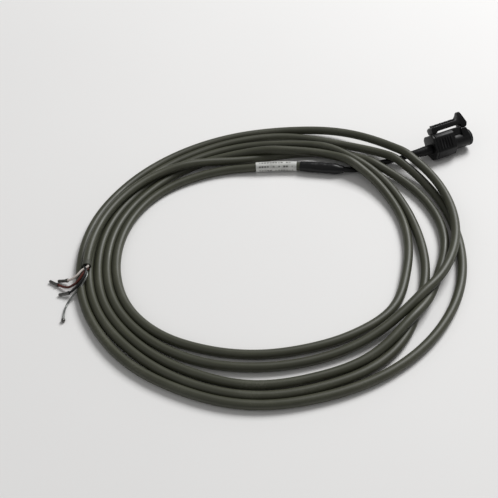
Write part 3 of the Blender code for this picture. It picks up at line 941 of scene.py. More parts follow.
def ring_tree() -> GrowthSheet:
    """The tree that sets rounded rings along a line, each as wide as the line's girth there.

    Returns:
        The tree.
    """
    sheet = GrowthSheet("rings_along_line", {"Count": "NodeSocketInt", "Thickness": "NodeSocketFloat",
                                             "Material": "NodeSocketMaterial"})
    curve = sheet.node("GeometryNodeMeshToCurve", None, {0: sheet.group.outputs["Geometry"]})
    points = sheet.node("GeometryNodeCurveToPoints", {"mode": "COUNT"},
                        {"Curve": curve.outputs[0], "Count": sheet.value["Count"]})
    circle = sheet.node("GeometryNodeCurvePrimitiveCircle", None, {"Resolution": 40, "Radius": 1.0})
    bead = sheet.node("GeometryNodeCurvePrimitiveCircle", None,
                      {"Resolution": 10, "Radius": sheet.value["Thickness"]})
    ring = sheet.node("GeometryNodeCurveToMesh", None,
                      {"Curve": circle.outputs[0], "Profile Curve": bead.outputs[0]})
    set_on = sheet.node("GeometryNodeInstanceOnPoints", None,
                        {"Points": points.outputs["Points"], "Instance": ring.outputs[0],
                         "Rotation": points.outputs["Rotation"], "Scale": girth_of(sheet)})
    sheet.close(set_on.outputs[0])
    return sheet


def strand_tree() -> GrowthSheet:
    """The tree that lays twisted strands round a line.

    Returns:
        The tree.
    """
    sheet = GrowthSheet("strands_round_line",
                        {"Strands": "NodeSocketInt", "Spread": "NodeSocketFloat", "Pitch": "NodeSocketFloat",
                         "Strand Radius": "NodeSocketFloat", "Material": "NodeSocketMaterial"})
    curve = sheet.node("GeometryNodeMeshToCurve", None, {0: sheet.group.outputs["Geometry"]})
    copies = sheet.node("GeometryNodeDuplicateElements", {"domain": "SPLINE"},
                        {"Geometry": curve.outputs[0], "Amount": sheet.value["Strands"]})
    number = Value(sheet, copies.outputs["Duplicate Index"])
    length = Value(sheet, sheet.node("GeometryNodeSplineParameter").outputs["Length"])
    turn = (length / sheet.value["Pitch"] + number / sheet.value["Strands"]) * math.tau
    normal = sheet.node("GeometryNodeInputNormal").outputs[0]
    tangent = sheet.node("GeometryNodeInputTangent").outputs[0]
    other = sheet.node("ShaderNodeVectorMath", {"operation": "CROSS_PRODUCT"},
                       {0: tangent, 1: normal}).outputs[0]
    girth = Value(sheet, girth_of(sheet)) * sheet.value["Spread"]
    offset = sheet.node("ShaderNodeVectorMath", {"operation": "ADD"},
                        {0: sheet.scaled(normal, turn.math("COSINE") * girth),
                         1: sheet.scaled(other, turn.math("SINE") * girth)}).outputs[0]
    moved = sheet.node("GeometryNodeSetPosition", None,
                       {"Geometry": copies.outputs["Geometry"], "Offset": offset})
    marked = sheet.node("GeometryNodeStoreNamedAttribute", {"data_type": "FLOAT", "domain": "POINT"},
                        {0: moved.outputs[0], "Name": "along", "Value": length})
    section = sheet.node("GeometryNodeCurvePrimitiveCircle", None,
                         {"Resolution": 8, "Radius": sheet.value["Strand Radius"]})
    swept = sheet.node("GeometryNodeCurveToMesh", None,
                       {"Curve": marked.outputs[0], "Profile Curve": section.outputs[0], "Fill Caps": True})
    sheet.close(swept.outputs[0])
    return sheet


def rib_tree() -> GrowthSheet:
    """The tree that sets rounded ribs in a row along x, each lying across y.

    Returns:
        The tree.
    """
    sheet = GrowthSheet("ribs_in_row", {"Count": "NodeSocketInt", "Spacing": "NodeSocketFloat",
                                        "Width": "NodeSocketFloat", "Thickness": "NodeSocketFloat",
                                        "Height": "NodeSocketFloat", "Material": "NodeSocketMaterial"})
    half = sheet.value["Width"] * 0.5
    bar = sheet.node("GeometryNodeCurvePrimitiveLine", None,
                     {"Start": sheet.vector(0.0, half * -1.0, 0.0), "End": sheet.vector(0.0, half, 0.0)})
    outline = sheet.node("GeometryNodeCurvePrimitiveQuadrilateral", {"mode": "TRAPEZOID"},
                         {"Height": sheet.value["Height"], "Bottom Width": sheet.value["Thickness"],
                          "Top Width": sheet.value["Thickness"] * 0.6, "Offset": 0.0})
    soft = sheet.node("GeometryNodeFilletCurve", {"mode": "POLY"},
                      {0: outline.outputs[0], "Count": 4, "Radius": sheet.value["Thickness"] * 0.22,
                       "Limit Radius": True})
    rib = sheet.node("GeometryNodeCurveToMesh", None,
                     {"Curve": bar.outputs[0], "Profile Curve": soft.outputs[0], "Fill Caps": True})
    step = sheet.vector(sheet.value["Spacing"], 0.0, 0.0)
    row = sheet.node("GeometryNodeMeshLine", None, {"Count": sheet.value["Count"], "Offset": step})
    set_on = sheet.node("GeometryNodeInstanceOnPoints", None,
                        {"Points": row.outputs[0], "Instance": rib.outputs[0]})
    sheet.close(set_on.outputs[0])
    return sheet


SWEEP = sweep_tree()
RINGS = ring_tree()
STRANDS = strand_tree()
RIBS = rib_tree()


def swept(name: str, points: np.ndarray, radii: Sequence[float] | float, finish: Finish,
          sides: int = 24) -> bpy.types.Object:
    """A round tube through points in metres.

    Args:
        name: the piece's name.
        points: the tube's centreline.
        radii: its radius in millimetres, one for all or one for each point.
        finish: its finish.
        sides: points round it.

    Returns:
        The object.
    """
    girth = np.full(len(points), radii, float) if np.isscalar(radii) else np.array(radii, float)
    return SWEEP.grow(name, line_mesh(points, girth * MM), finish, Sides=sides)


def settle_on(piece: bpy.types.Object, body: Body, slot: Slot, *nodes: str) -> bpy.types.Object:
    """Let a piece ride on its body, and hide the CAD nodes that it stands for.

    Args:
        piece: the finished piece.
        body: the body that it rides on.
        slot: the record's slot that its finish stands for; not used.
        nodes: the CAD nodes that it replaces.

    Returns:
        The piece.
    """
    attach(piece, body.value)
    if nodes:
        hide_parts(*nodes)
    LOG.info("%s: %d faces, rides on %s", piece.name, len(piece.data.polygons), body.value)
    return piece


# ---------------------------------------------------------------- the grey cable's turns

# Each turn of the coil, every 20 degrees from 100 degrees on, counter-clockwise about the coil's middle:
# its radius in millimetres, and how many cables it lies on there
TURNS = (
    ((63.5, 0), (68.5, 0), (74, 0), (77, 0), (77.5, 0), (77.5, 0), (74, 0), (69, 0), (66, 0),
     (65, 0), (67, 0), (70, 0), (68, 0), (69, 0), (71.5, 0), (73.5, 0.4), (73.5, 0.8), (71.5, 1)),
    ((73, 0.6), (77.5, 0), (79.5, 0), (81.5, 0), (82, 0), (81.5, 0), (79, 0), (76, 0), (73, 0),
     (72, 0), (73.5, 0.3), (77, 1.3), (85.5, 1.7), (92.5, 1.2), (96.5, 1.2), (96.8, 1.3), (96.8, 0.8),
     (93.5, 0.3)),
    ((91.5, 0.1), (91, 0), (91.5, 0), (93, 0), (94, 0), (94.5, 0), (94, 0), (92.5, 0), (92.5, 0),
     (91.5, 0), (92.5, 0), (93.5, 0), (94, 0), (93.5, 0), (93.5, 0), (92, 0.6), (88, 0.3), (88.5, 0)),
    ((87, 0), (86, 0), (87, 0), (89, 0), (90, 0), (90, 0), (88.5, 0), (88, 0), (88, 0),
     (86.5, 0), (86, 0), (81.5, 0), (77.5, 0), (74.5, 0), (74.5, 0), (77.5, 0.6), (79.5, 1.1), (79.5, 0.7)),
    ((81.5, 0), (82, 0), (83.5, 0), (85.5, 0), (86, 0), (86, 0), (84, 0), (82.5, 0), (82.5, 0),
     (81, 0), (82, 0.3), (81, 1), (82.5, 0.5), (87, 0), (86.5, 0), (82.5, 0.6), (79.5, 0.2), (73, 0)),
    ((70.5, 0.2), (76.5, 1.0), (83.5, 1.2), (88, 1.2), (90.4, 1.2)),
)


@dataclass
class Winding:
    """The grey cable's way from the splice through its loose turns, and how it settles under its weight."""

    radius: float = 2.25
    spacing: float = 2.5
    middle: Pair = (2.0, 3.0)
    first_angle: float = 100.0
    angle_step: float = 20.0
    last: tuple[float, float, float] = (1983.4, 90.6, 1.1)
    rounds: int = 700
    search_rounds: int = 15
    search_margin: float = 3.0
    search_skip: int = 5
    obstacle_search: float = 8.0
    held_points: int = 14
    sink: float = 0.035
    sag_pull: float = 0.02
    plan_pull: float = 0.03
    height_share: float = 0.4
    drift_share: float = 0.3
    stiff_reach: int = 7
    push_passes: int = 2
    push_share: float = 1.3
    clearance: float = 0.05
    over_slope: float = 0.4
    hump_spread: float = 0.6
    last_reach: int = 3
    start: tuple[Point, ...] = (
        (27.2, 61.75, 3.15), (24.4, 62.4, 3.1), (20.8, 63.2, 3.0), (15.0, 64.0, 2.9), (9.5, 64.5, 2.9),
        (4.0, 64.9, 2.9), (-1.0, 65.1, 2.8), (-6.0, 65.1, 2.6))

    def drawn(self) -> np.ndarray:
        """The route as drawn: the start from the splice, then the turns by angle, radius and layer.

        Returns:
            The route's points in millimetres of the plan.
        """
        stations = []
        for count, turn in enumerate(TURNS):
            for step, (reach, layer) in enumerate(turn):
                stations.append((self.first_angle + 360.0 * count + self.angle_step * step, reach, layer))
        stations.append(self.last)
        fine = smooth_route(stations, 8)
        angle = np.radians(fine[:, 0])
        turns = np.stack([self.middle[0] + fine[:, 1] * np.cos(angle),
                          self.middle[1] + fine[:, 1] * np.sin(angle),
                          self.radius * (1 + 2 * fine[:, 2])], 1)
        return evenly(np.vstack([smooth_route(self.start, 8), turns]), self.spacing)

    def settled(self, obstacles: np.ndarray) -> np.ndarray:
        """The route after it has sunk onto the floor, its neighbours and what lies under it.

        Each round lets every point sink a little, eases it towards its drawn place, evens out height and
        drift along the cable, pushes apart what touches, and gives each step its length back.

        Args:
            obstacles: rows of x, y, z and radius, in millimetres of the plan.

        Returns:
            The settled points in millimetres of the plan.
        """
        target = self.drawn()
        points = target.copy()
        count = len(points)
        free = np.where(np.arange(count) < self.held_points, 0.0, 1.0)
        across = 2 * self.radius
        for turn in range(self.rounds):
            if turn % self.search_rounds == 0:
                flat = ((points[:, None, :2] - points[None, :, :2]) ** 2).sum(-1)
                near, far = np.where(flat < (across + self.search_margin) ** 2)
                apart = far - near > self.search_skip
                near, far = near[apart], far[apart]
                flat = ((points[:, None, :2] - obstacles[None, :, :2]) ** 2).sum(-1)
                touching, what = np.where(flat < self.obstacle_search ** 2)
            points[:, 2] += (self.sag_pull * (target[:, 2] - points[:, 2]) - self.sink) * free
            points[:, :2] += self.plan_pull * (target[:, :2] - points[:, :2]) * free[:, None]
            heights = evened(points[:, 2:], self.stiff_reach)[:, 0]
            points[:, 2] += self.height_share * (heights - points[:, 2]) * free
            drift = points[:, :2] - target[:, :2]
            eased = evened(drift, self.stiff_reach) - drift
            points[:, :2] += self.drift_share * eased * free[:, None]
            for _ in range(self.push_passes):
                self._part(points, near, far, touching, what, obstacles, free)
            self._keep_steps(points, free)
        points[self.held_points:] = evened(points, self.last_reach)[self.held_points:]
        points[:, 2] = np.maximum(points[:, 2], self.radius)
        return points

    def _part(self, points: np.ndarray, near: np.ndarray, far: np.ndarray, touching: np.ndarray,
              what: np.ndarray, obstacles: np.ndarray, free: np.ndarray) -> None:
        """Push apart stretches that lie in each other, in an obstacle or in the floor, in place.

        Args:
            points: the line's points, one row each.
            near: the first point of each pair that may touch.
            far: the second point of each pair.
            touching: the points that may touch an obstacle.
            what: the obstacle that each of them may touch.
            obstacles: rows of x, y, z and radius.
            free: 0 for a held point, 1 for a free one.
        """
        push = np.zeros_like(points)
        hits = np.zeros(len(points))
        gap = points[far] - points[near]
        length = np.linalg.norm(gap, axis=1) + 1e-9
        short = 2 * self.radius + self.clearance - length
        hit = short > 0
        move = gap[hit] / length[hit, None] * short[hit, None] * 0.5
        np.add.at(push, near[hit], -move)
        np.add.at(push, far[hit], move)
        np.add.at(hits, near[hit], 1)
        np.add.at(hits, far[hit], 1)
        gap = points[touching] - obstacles[what, :3]
        length = np.linalg.norm(gap, axis=1) + 1e-9
        wanted = self.radius + obstacles[what, 3] + self.clearance
        short = wanted - length
        ways = gap / length[:, None]
        above = ways[:, 2] > self.over_slope
        ways[above] = (0.0, 0.0, 1.0)
        flat = np.linalg.norm(gap[:, :2], axis=1)
        climb = np.sqrt(np.maximum(wanted ** 2 - (self.hump_spread * flat) ** 2, 0.0)) - gap[:, 2]
        short = np.where(above, climb, short)
        hit = short > 0
        np.add.at(push, touching[hit], ways[hit] * short[hit, None])
        np.add.at(hits, touching[hit], 1)
        points += push / np.maximum(hits, 1)[:, None] * self.push_share * free[:, None]
        points[:, 2] = np.maximum(points[:, 2], self.radius)

    def _keep_steps(self, points: np.ndarray, free: np.ndarray) -> None:
        """Give each step between neighbouring points its length back, in place.

        Args:
            points: the line's points, one row each.
            free: 0 for a held point, 1 for a free one.
        """
        for start in (0, 1):
            here = np.arange(start, len(points) - 1, 2)
            after = here + 1
            gap = points[after] - points[here]
            length = np.linalg.norm(gap, axis=1)
            share = np.maximum(free[here] + free[after], 1e-9)
            move = gap * ((length - self.spacing) / length)[:, None] * 0.5
            points[here] += move * (free[here] / share)[:, None]
            points[after] -= move * (free[after] / share)[:, None]


# ---------------------------------------------------------------- black lead, boot and splice

@dataclass
class BlackLead:
    """The thin lead from the plug's boot to the splice, with the boot and the shrunk sleeve."""

    radius: float = 1.5
    route: tuple[Point, ...] = (
        (93.6, 64.4, 6.0), (91.2, 63.6, 6.0), (87.4, 62.6, 5.9), (84.0, 62.1, 5.5), (81.6, 62.0, 4.9),
        (78.6, 62.2, 3.8), (75.4, 62.6, 2.7), (72.0, 62.7, 1.9), (68.0, 62.3, 1.6), (63.5, 61.1, 1.6),
        (59.0, 59.4, 1.6), (54.5, 57.9, 1.9), (50.5, 57.1, 2.6), (47.5, 56.9, 3.1), (45.2, 57.3, 3.2),
        (43.2, 57.8, 3.2), (41.4, 58.2, 3.2))
    boot_route: tuple[Point, ...] = (
        (94.7, 64.8, 6.0), (91.2, 63.6, 6.0), (87.4, 62.6, 5.9), (84.0, 62.1, 5.5), (81.6, 62.0, 4.9))
    boot_radii: tuple[float, ...] = (2.8, 2.75, 2.45, 2.2, 2.0)
    ring_proud: float = 0.12
    sleeve_radius: float = 3.0

    def line(self) -> np.ndarray:
        """The lead's centreline in millimetres of the plan."""
        return evenly(smooth_route(self.route), 1.0)

    def obstacles(self) -> np.ndarray:
        """What the cable has to pass over: lead, boot and sleeve, as rows of x, y, z and radius.

        Returns:
            The rows, in millimetres of the plan.
        """
        lead = self.line()
        girth = np.where(lead[:, 0] > self.boot_route[-1][0], self.boot_radii[-1] + 0.3, self.radius)
        along = np.arange(-SLEEVE_HALF, SLEEVE_HALF + 0.1, 2.0)
        heading = np.array((math.cos(SPLICE_TURN), math.sin(SPLICE_TURN), 0.0))
        sleeve = np.array(SPLICE_PLACE) + along[:, None] * heading
        return np.vstack([np.column_stack([lead, girth]),
                          np.column_stack([sleeve, np.full(len(sleeve), self.sleeve_radius)])])

    def build(self) -> None:
        """Build the lead, then its boot and its splice sleeve."""
        centre = placed(self.line(), PLAN)
        lead = settle_on(swept("black_lead_sheath", centre, self.radius, LEAD_SHEATH, 28),
                         Body.LEAD, Slot.LEAD, "black_lead")
        self._build_boot()
        sleeve = self._build_sleeve()
        leaves = placed(np.array([self.boot_route[-1]]), PLAN)[0]

    def _build_boot(self) -> None:
        """The tapered boot and its relief rings."""
        points = evenly(smooth_route(self.boot_route), 0.5)
        stations = np.linspace(0.0, 1.0, len(points))
        radii = np.interp(stations, np.linspace(0.0, 1.0, len(self.boot_radii)), self.boot_radii)
        centre = placed(points, PLAN)
        body = radii - self.ring_proud
        settle_on(swept("strain_boot_body", centre, body, BOOT_PLASTIC, 40), Body.LEAD, Slot.PLUG,
                  "strain_boot")
        ringed = slice(len(points) // 5, len(points))
        rings = RINGS.grow("strain_boot_rings", line_mesh(centre[ringed], body[ringed] * MM), BOOT_PLASTIC,
                           Count=9, Thickness=0.05)
        settle_on(rings, Body.LEAD, Slot.PLUG)

    def _build_sleeve(self) -> bpy.types.Object:
        """The shrunk sleeve: drawn in on the lead, swollen over the crimps, with a thin rim at each end.

        Returns:
            The sleeve.
        """
        half = SLEEVE_HALF
        outer = [(-half, 1.75), (-half + 0.3, 2.0), (-half + 1.2, 2.1), (-half + 2.4, 2.35),
                 (-half + 3.6, 2.75), (-half + 5.0, 2.92)]
        outer += [(x, 2.92) for x in np.arange(-6.5, 7.6, 0.5)]
        outer += [(half - 3.6, 2.86), (half - 2.4, 2.76), (half - 1.0, 2.7), (half - 0.3, 2.68), (half, 2.4)]
        inner = [(half, 2.2), (half - 1.0, 2.2), (0.0, 2.2), (-half + 5.0, 1.9), (-half + 1.0, 1.45),
                 (-half, 1.45)]

        def swell(station: float, angle: float) -> float:
            """Lumps over the three crimps, and slow unevenness along the sleeve.

            Args:
                station: how far along the line, in millimetres.
                angle: the angle round the line, in radians.

            Returns:
                The extra radius in millimetres.
            """
            over_crimps = max(0.0, 1 - (station / 5.0) ** 2)
            return (0.10 * over_crimps * math.cos(3 * angle - math.pi / 2)
                    + 0.05 * math.sin(1.9 * station) * math.sin(angle + 0.8 * station))

        sleeve = turned("splice_sleeve_shrunk", outer + inner, straight(0.0, half, SPLICE), SPLICE_SLEEVE, 56,
                        swell)
        return settle_on(sleeve, Body.LEAD, Slot.SLEEVE, "splice_sleeve")


# ---------------------------------------------------------------- grey cable

@dataclass
class GreyCable:
    """The grey cable with its marker sleeve and its bare end."""

    winding: Winding = field(default_factory=Winding)
    label_start: float = 6.2
    label_length: float = 22.4
    label_radius: float = 2.72
    core_radius: float = 0.6
    ferrule_length: float = 5.0
    cores: tuple[tuple[str, float, tuple[Point, ...]], ...] = (
        ("white", 40.0, ((-90.6, -6.0, 6.7), (-93.4, -8.2, 5.4), (-96.6, -8.6, 3.6), (-99.6, -7.6, 1.9),
                         (-103.4, -6.6, 0.95))),
        ("brown", 310.0, ((-89.6, -7.2, 6.5), (-91.8, -10.8, 5.7), (-94.2, -12.4, 4.2), (-98.2, -12.4, 2.3),
                          (-103.2, -9.3, 1.1), (-107.6, -6.1, 0.9))),
        ("black", 140.0, ((-88.4, -8.0, 7.4), (-90.2, -12.6, 6.4), (-93.4, -15.2, 4.6), (-97.2, -16.0, 2.1),
                          (-102.2, -15.6, 0.9))),
    )
    drain: tuple[Point, ...] = (
        (-88.2, -8.2, 5.6), (-90.6, -13.4, 4.6), (-94.4, -17.6, 2.5), (-97.2, -21.4, 1.2),
        (-98.4, -26.0, 1.0), (-98.5, -31.0, 1.0))

    def build(self, obstacles: np.ndarray) -> None:
        """Args:
            obstacles: what it passes over, as rows of x, y, z and radius in millimetres of the plan.
        """
        plan = self.winding.settled(obstacles)
        centre = placed(plan, PLAN)
        cable = swept("grey_cable_sheath", centre, self.winding.radius, CABLE_SHEATH, 24)
        settle_on(cable, Body.LEAD, Slot.CABLE, "cable_start", "cable_coil", "cable_end")
        parts = [self._build_label(centre), self._build_mouth(plan)]
        parts += self._build_cores(plan)
        drain = self._build_drain(plan)
        sleeve_end = placed(np.array([(SLEEVE_HALF, 0.0, 0.0)]), SPLICE)[0]
        parts + drain

    def _build_label(self, centre: np.ndarray) -> bpy.types.Object:
        """The marker sleeve round the cable, its rims rolled in and its wall a little out of round.

        Args:
            centre: the cable's centreline, in metres.

        Returns:
            The marker sleeve.
        """
        start, end, radius = self.label_start, self.label_start + self.label_length, self.label_radius
        inner = self.winding.radius - 0.1
        outline = [(start, inner), (start, radius - 0.05)]
        outline += [(x, radius) for x in np.linspace(start + 0.4, end - 0.4, 24)]
        outline += [(end, radius - 0.05), (end, inner)]

        def swell(station: float, angle: float) -> float:
            """A slow wave round and along the sleeve."""
            return 0.05 * math.cos(2 * angle + 0.4) + 0.03 * math.sin(0.7 * station + angle)

        label = turned("marker_sleeve", softened(outline, 0.12, 2), Line(centre), MARKER, 48, swell)
        return settle_on(label, Body.LEAD, Slot.LABEL, "label_sleeve")

    def _end_line(self, plan: np.ndarray) -> Line:
        """The cable's last stretch, in metres."""
        return Line(placed(plan[-12:], PLAN))

    def _build_mouth(self, plan: np.ndarray) -> bpy.types.Object:
        """The cut edge of the sheath: a short collar with a hollow in its end.

        Args:
            plan: the settled cable, in millimetres of the plan.

        Returns:
            The collar.
        """
        line = self._end_line(plan)
        reach = line.length / MM
        outer, inner = self.winding.radius + 0.03, self.winding.radius - 0.62
        outline = [(reach - 2.0, outer - 0.3), (reach - 1.8, outer), (reach + 1.0, outer),
                   (reach + 1.25, outer - 0.2), (reach + 1.2, inner + 0.1), (reach + 1.0, inner),
                   (reach - 0.4, inner), (reach - 0.5, 0.05), (reach - 2.0, 0.05)]
        collar = turned("sheath_mouth", outline, line, CUT_SHEATH, 40)
        return settle_on(collar, Body.LEAD, Slot.CABLE)

    def _mouth_points(self, line: Line, angle: float, spread: float) -> list[np.ndarray]:
        """Two points of a core where it leaves the sheath, in metres of the row frame.

        Args:
            line: the cable's last stretch.
            angle: where round the line it is, in degrees.
            spread: how far it stands off the line, in millimetres.

        Returns:
            The two points.
        """
        turn = math.radians(angle)
        found = []
        for past in (-0.3, 1.8):
            point, _, side, other = line.at(line.length + past * MM)
            found.append(point + (side * math.sin(turn) + other * -math.cos(turn)) * spread * MM)
        return found

    def _build_cores(self, plan: np.ndarray) -> list[bpy.types.Object]:
        """The insulated cores fanned out of the sheath, each with a crimped ferrule.

        Args:
            plan: the settled cable, in millimetres of the plan.

        Returns:
            The cores and their ferrules.
        """
        line = self._end_line(plan)
        finishes = {"white": (WHITE_CORE, Slot.CORE_WHITE), "brown": (BROWN_CORE, Slot.CORE_BROWN),
                    "black": (BLACK_CORE, Slot.CORE_BLACK)}
        made = []
        for colour, angle, route in self.cores:
            finish, slot = finishes[colour]
            onward = placed(np.array(route), PLAN)
            points = evenly(smooth_route([*self._mouth_points(line, angle, 0.95), *onward]) / MM, 0.5) * MM
            split = len(points) - 1 - round(self.ferrule_length / 0.5)
            core = swept(f"core_{colour}", points[:split + 2], self.core_radius, finish, 18)
            made.append(settle_on(core, Body.LEAD, slot, f"end_core_{colour}"))
            made.append(self._build_ferrule(colour, points[split:]))
        return made

    def _build_ferrule(self, colour: str, points: np.ndarray) -> bpy.types.Object:
        """A crimped ferrule: a flared mouth over the insulation and pinched bands down to its tip.

        Args:
            colour: the core's colour.
            points: the ferrule's line, in metres.

        Returns:
            The ferrule.
        """
        line = Line(points)
        reach = line.length / MM
        outline = [(-0.6, 0.62), (-0.6, 0.98), (0.0, 1.0), (0.9, 0.86), (1.3, 0.78)]
        outline += [(x, 0.78) for x in np.arange(1.5, reach - 0.5, 0.25)]
        outline += [(reach - 0.3, 0.74), (reach, 0.62), (reach, 0.05), (0.2, 0.05)]

        def swell(station: float, angle: float) -> float:
            """Four flats pressed in bands along the barrel.

            Args:
                station: how far along the line, in millimetres.
                angle: the angle round the line, in radians.

            Returns:
                The extra radius in millimetres.
            """
            if not 1.3 < station < reach - 0.5:
                return 0.0
            pressed = 0.5 - 0.5 * math.cos(math.tau * (station - 1.3) / 0.75)
            return -0.10 * pressed * abs(math.cos(2 * angle))

        # The ferrule's dark metal colour is partly painted shade.
        ferrule = turned(f"crimped_ferrule_{colour}", outline, line, FERRULE_METAL_WITH_PAINTED_SHADE, 24, swell)
        return settle_on(ferrule, Body.LEAD, Slot.TIN, f"ferrule_{colour}")

    def _build_drain(self, plan: np.ndarray) -> list[bpy.types.Object]:
        """The bare drain wire of twisted strands, with the small ball that its tip is tinned into.

        Args:
            plan: the settled cable, in millimetres of the plan.

        Returns:
            The wire and its tip.
        """
        line = self._end_line(plan)
        onward = placed(np.array(self.drain), PLAN)
        points = evenly(smooth_route([*self._mouth_points(line, 225.0, 0.9), *onward]) / MM, 0.4) * MM
        host = line_mesh(points, np.full(len(points), 0.32 * MM))
        strands = STRANDS.grow("drain_strands", host, STRAND_METAL, Strands=6, Spread=1.0, Pitch=0.0042,
                               Strand_Radius=0.00017)
        settle_on(strands, Body.LEAD, Slot.DRAIN, "drain_wire")
        end = Line(points)
        reach = end.length / MM
        outline = [(reach - 0.5, 0.4), (reach - 0.2, 0.6), (reach + 0.2, 0.84), (reach + 0.7, 0.97),
                   (reach + 1.2, 0.97), (reach + 1.65, 0.8), (reach + 1.95, 0.5), (reach + 2.05, 0.02),
                   (reach - 0.5, 0.02)]
        # The drain tip's dark metal colour is partly painted shade.
        tip = turned("drain_tip", softened(outline, 0.2, 2), end, FERRULE_METAL_WITH_PAINTED_SHADE, 24)
        settle_on(tip, Body.LEAD, Slot.TIN, "ferrule_drain")
        return [strands, tip]


# ---------------------------------------------------------------- plug

ALONG_X = Matrix(((0, 0, 1), (1, 0, 0), (0, 1, 0))).to_4x4()
ACROSS_Y = Matrix(((1, 0, 0), (0, 0, -1), (0, 1, 0))).to_4x4()


@dataclass
class RoundNosePlug:
    """The plug's housing: chamfered body, rear cover, round nose, rail, cheeks and nose seal."""

    half_width: float = 5.75
    top: float = 7.1
    bottom: float = -6.4
    top_chamfer: float = 1.7
    lower_chamfer: Pair = (3.9, 3.5)
    cover_length: float = 1.5
    body_front: float = 13.0
    nose_radius: float = 4.5
    nose_front: float = 24.3
    bore_radius: float = 3.4
    groove: tuple[float, float, float] = (22.5, 23.6, 3.95)
    rail_front: float = 19.5
    rail_half_width: float = 3.6

    def section(self, inset: float = 0.0) -> list[Pair]:
        """The body's cross section as (y, z), drawn in by an inset.

        Args:
            inset: how far the outline is drawn in, in millimetres.

        Returns:
            The outline's corners.
        """
        side, top, bottom = self.half_width - inset, self.top - inset, self.bottom + inset
        across, up = self.lower_chamfer
        half = [(side - across, bottom), (side, bottom + up), (side, top - self.top_chamfer),
                (side - self.top_chamfer, top)]
        return half + [(-y, z) for y, z in reversed(half)]

    def build(self) -> None:
        """Build every piece of the housing."""
        self._build_body()
        self._build_nose()
        self._build_rail()
        self._build_seal()

    def _build_body(self) -> None:
        """The body, and the rear cover with the joint line between them."""
        place = PLUG @ ALONG_X
        body = prism("plug_body", softened(self.section(), 0.7), self.cover_length + 0.12, self.body_front,
                     place, PLUG_PLASTIC, 0.35)
        settle_on(body, Body.LEAD, Slot.PLUG, "plug_housing")
        joint = prism("cover_joint", softened(self.section(0.35), 0.6), self.cover_length - 0.4,
                      self.cover_length + 0.6, place, PLUG_PLASTIC, 0.0)
        settle_on(joint, Body.LEAD, Slot.PLUG)
        cover = prism("plug_rear_cover", softened(self.section(), 0.7), 0.0, self.cover_length, place,
                      PLUG_PLASTIC, 0.35)
        settle_on(cover, Body.LEAD, Slot.PLUG, "rear_cover")
        ribs = RIBS.grow("side_grip_ribs", bpy.data.meshes.new("ribs"), PLUG_PLASTIC, Count=5, Spacing=0.0016,
                         Width=0.0058, Thickness=0.0008, Height=0.0007)
        self._set_side_ribs(ribs)
        settle_on(ribs, Body.LEAD, Slot.PLUG)

    def _set_side_ribs(self, ribs: bpy.types.Object) -> None:
        """Stand the grip ribs upright on both sides of the body.

        Args:
            ribs: the row of ribs.
        """
        middle = (self.top - self.top_chamfer + self.bottom + self.lower_chamfer[1]) / 2
        bm = bmesh.new()
        for side in (1, -1):
            part = bmesh.new()
            part.from_mesh(ribs.data)
            turn = Matrix.Rotation(math.radians(-90 * side), 4, "X")
            first = Vector((4.2, side * (self.half_width + 0.05), middle)) * MM
            part.transform(PLUG @ Matrix.Translation(first) @ turn)
            held = bpy.data.meshes.new("held")
            part.to_mesh(held)
            part.free()
            bm.from_mesh(held)
            bpy.data.meshes.remove(held)
        bm.to_mesh(ribs.data)
        bm.free()

    def _build_nose(self) -> None:
        """The round hollow nose with its seal groove and root flange."""
        start, end, bottom = self.groove
        outer, bore, front = self.nose_radius, self.bore_radius, self.nose_front
        root = self.body_front
        profile = [(root - 1.0, bore), (root - 1.0, outer + 0.45), (root + 0.9, outer + 0.45),
                   (root + 1.2, outer), (start, outer), (start, bottom), (end, bottom), (end, outer),
                   (front - 0.35, outer), (front, outer - 0.4), (front, bore + 0.25), (front - 0.25, bore)]
        rounded = softened(profile, 0.14, 3)
        line = straight(0.0, front, PLUG)
        settle_on(turned("plug_nose", rounded, line, PLUG_PLASTIC, 96, sharp=40), Body.LEAD, Slot.PLUG)

    def _build_rail(self) -> None:
        """The rail under the latch, and the two cheeks that guard its barb."""
        place = PLUG @ ACROSS_Y
        front, top = self.rail_front, self.top
        rail = [(self.body_front - 0.8, 3.2), (front, 3.2), (front, top - 0.5), (front - 0.5, top),
                (self.body_front - 0.8, top)]
        half = self.rail_half_width
        settle_on(prism("latch_rail", softened(rail, 0.25, 2), -half, half, place, PLUG_PLASTIC, 0.3),
                  Body.LEAD, Slot.PLUG)
        cheek = [(front - 1.0, 0.6), (front + 2.9, 0.6), (front + 2.9, 1.6), (front + 2.5, 5.3),
                 (front + 1.9, 5.9), (front - 1.0, 5.9)]
        for side, (low, high) in (("left", (3.3, 4.4)), ("right", (-4.4, -3.3))):
            guard = prism(f"barb_cheek_{side}", softened(cheek, 0.4, 3), low, high, place, PLUG_PLASTIC, 0.2)
            settle_on(guard, Body.LEAD, Slot.PLUG)
        web = [(2.3, top - 0.4), (5.0, top - 0.4), (4.8, top + 0.24), (2.6, top + 0.24)]
        settle_on(prism("latch_web", softened(web, 0.15, 2), -2.8, 2.8, place, PLUG_PLASTIC, 0.1),
                  Body.LEAD, Slot.PLUG)

    def _build_seal(self) -> None:
        """The lipped ring in the nose's groove."""
        start, end, bottom = self.groove
        low, high = bottom + 0.03, self.nose_radius + 0.14
        middle = (start + end) / 2
        profile = [(start + 0.12, low), (start + 0.12, low + 0.3), (middle - 0.28, high),
                   (middle - 0.05, high - 0.12), (middle + 0.05, high - 0.12), (middle + 0.28, high),
                   (end - 0.12, low + 0.3), (end - 0.12, low)]
        line = straight(0.0, self.nose_front, PLUG)
        seal = turned("nose_seal_ring", softened(profile, 0.1, 3), line, SEAL_RUBBER, 80)
        settle_on(seal, Body.LEAD, Slot.SEAL, "nose_seal")


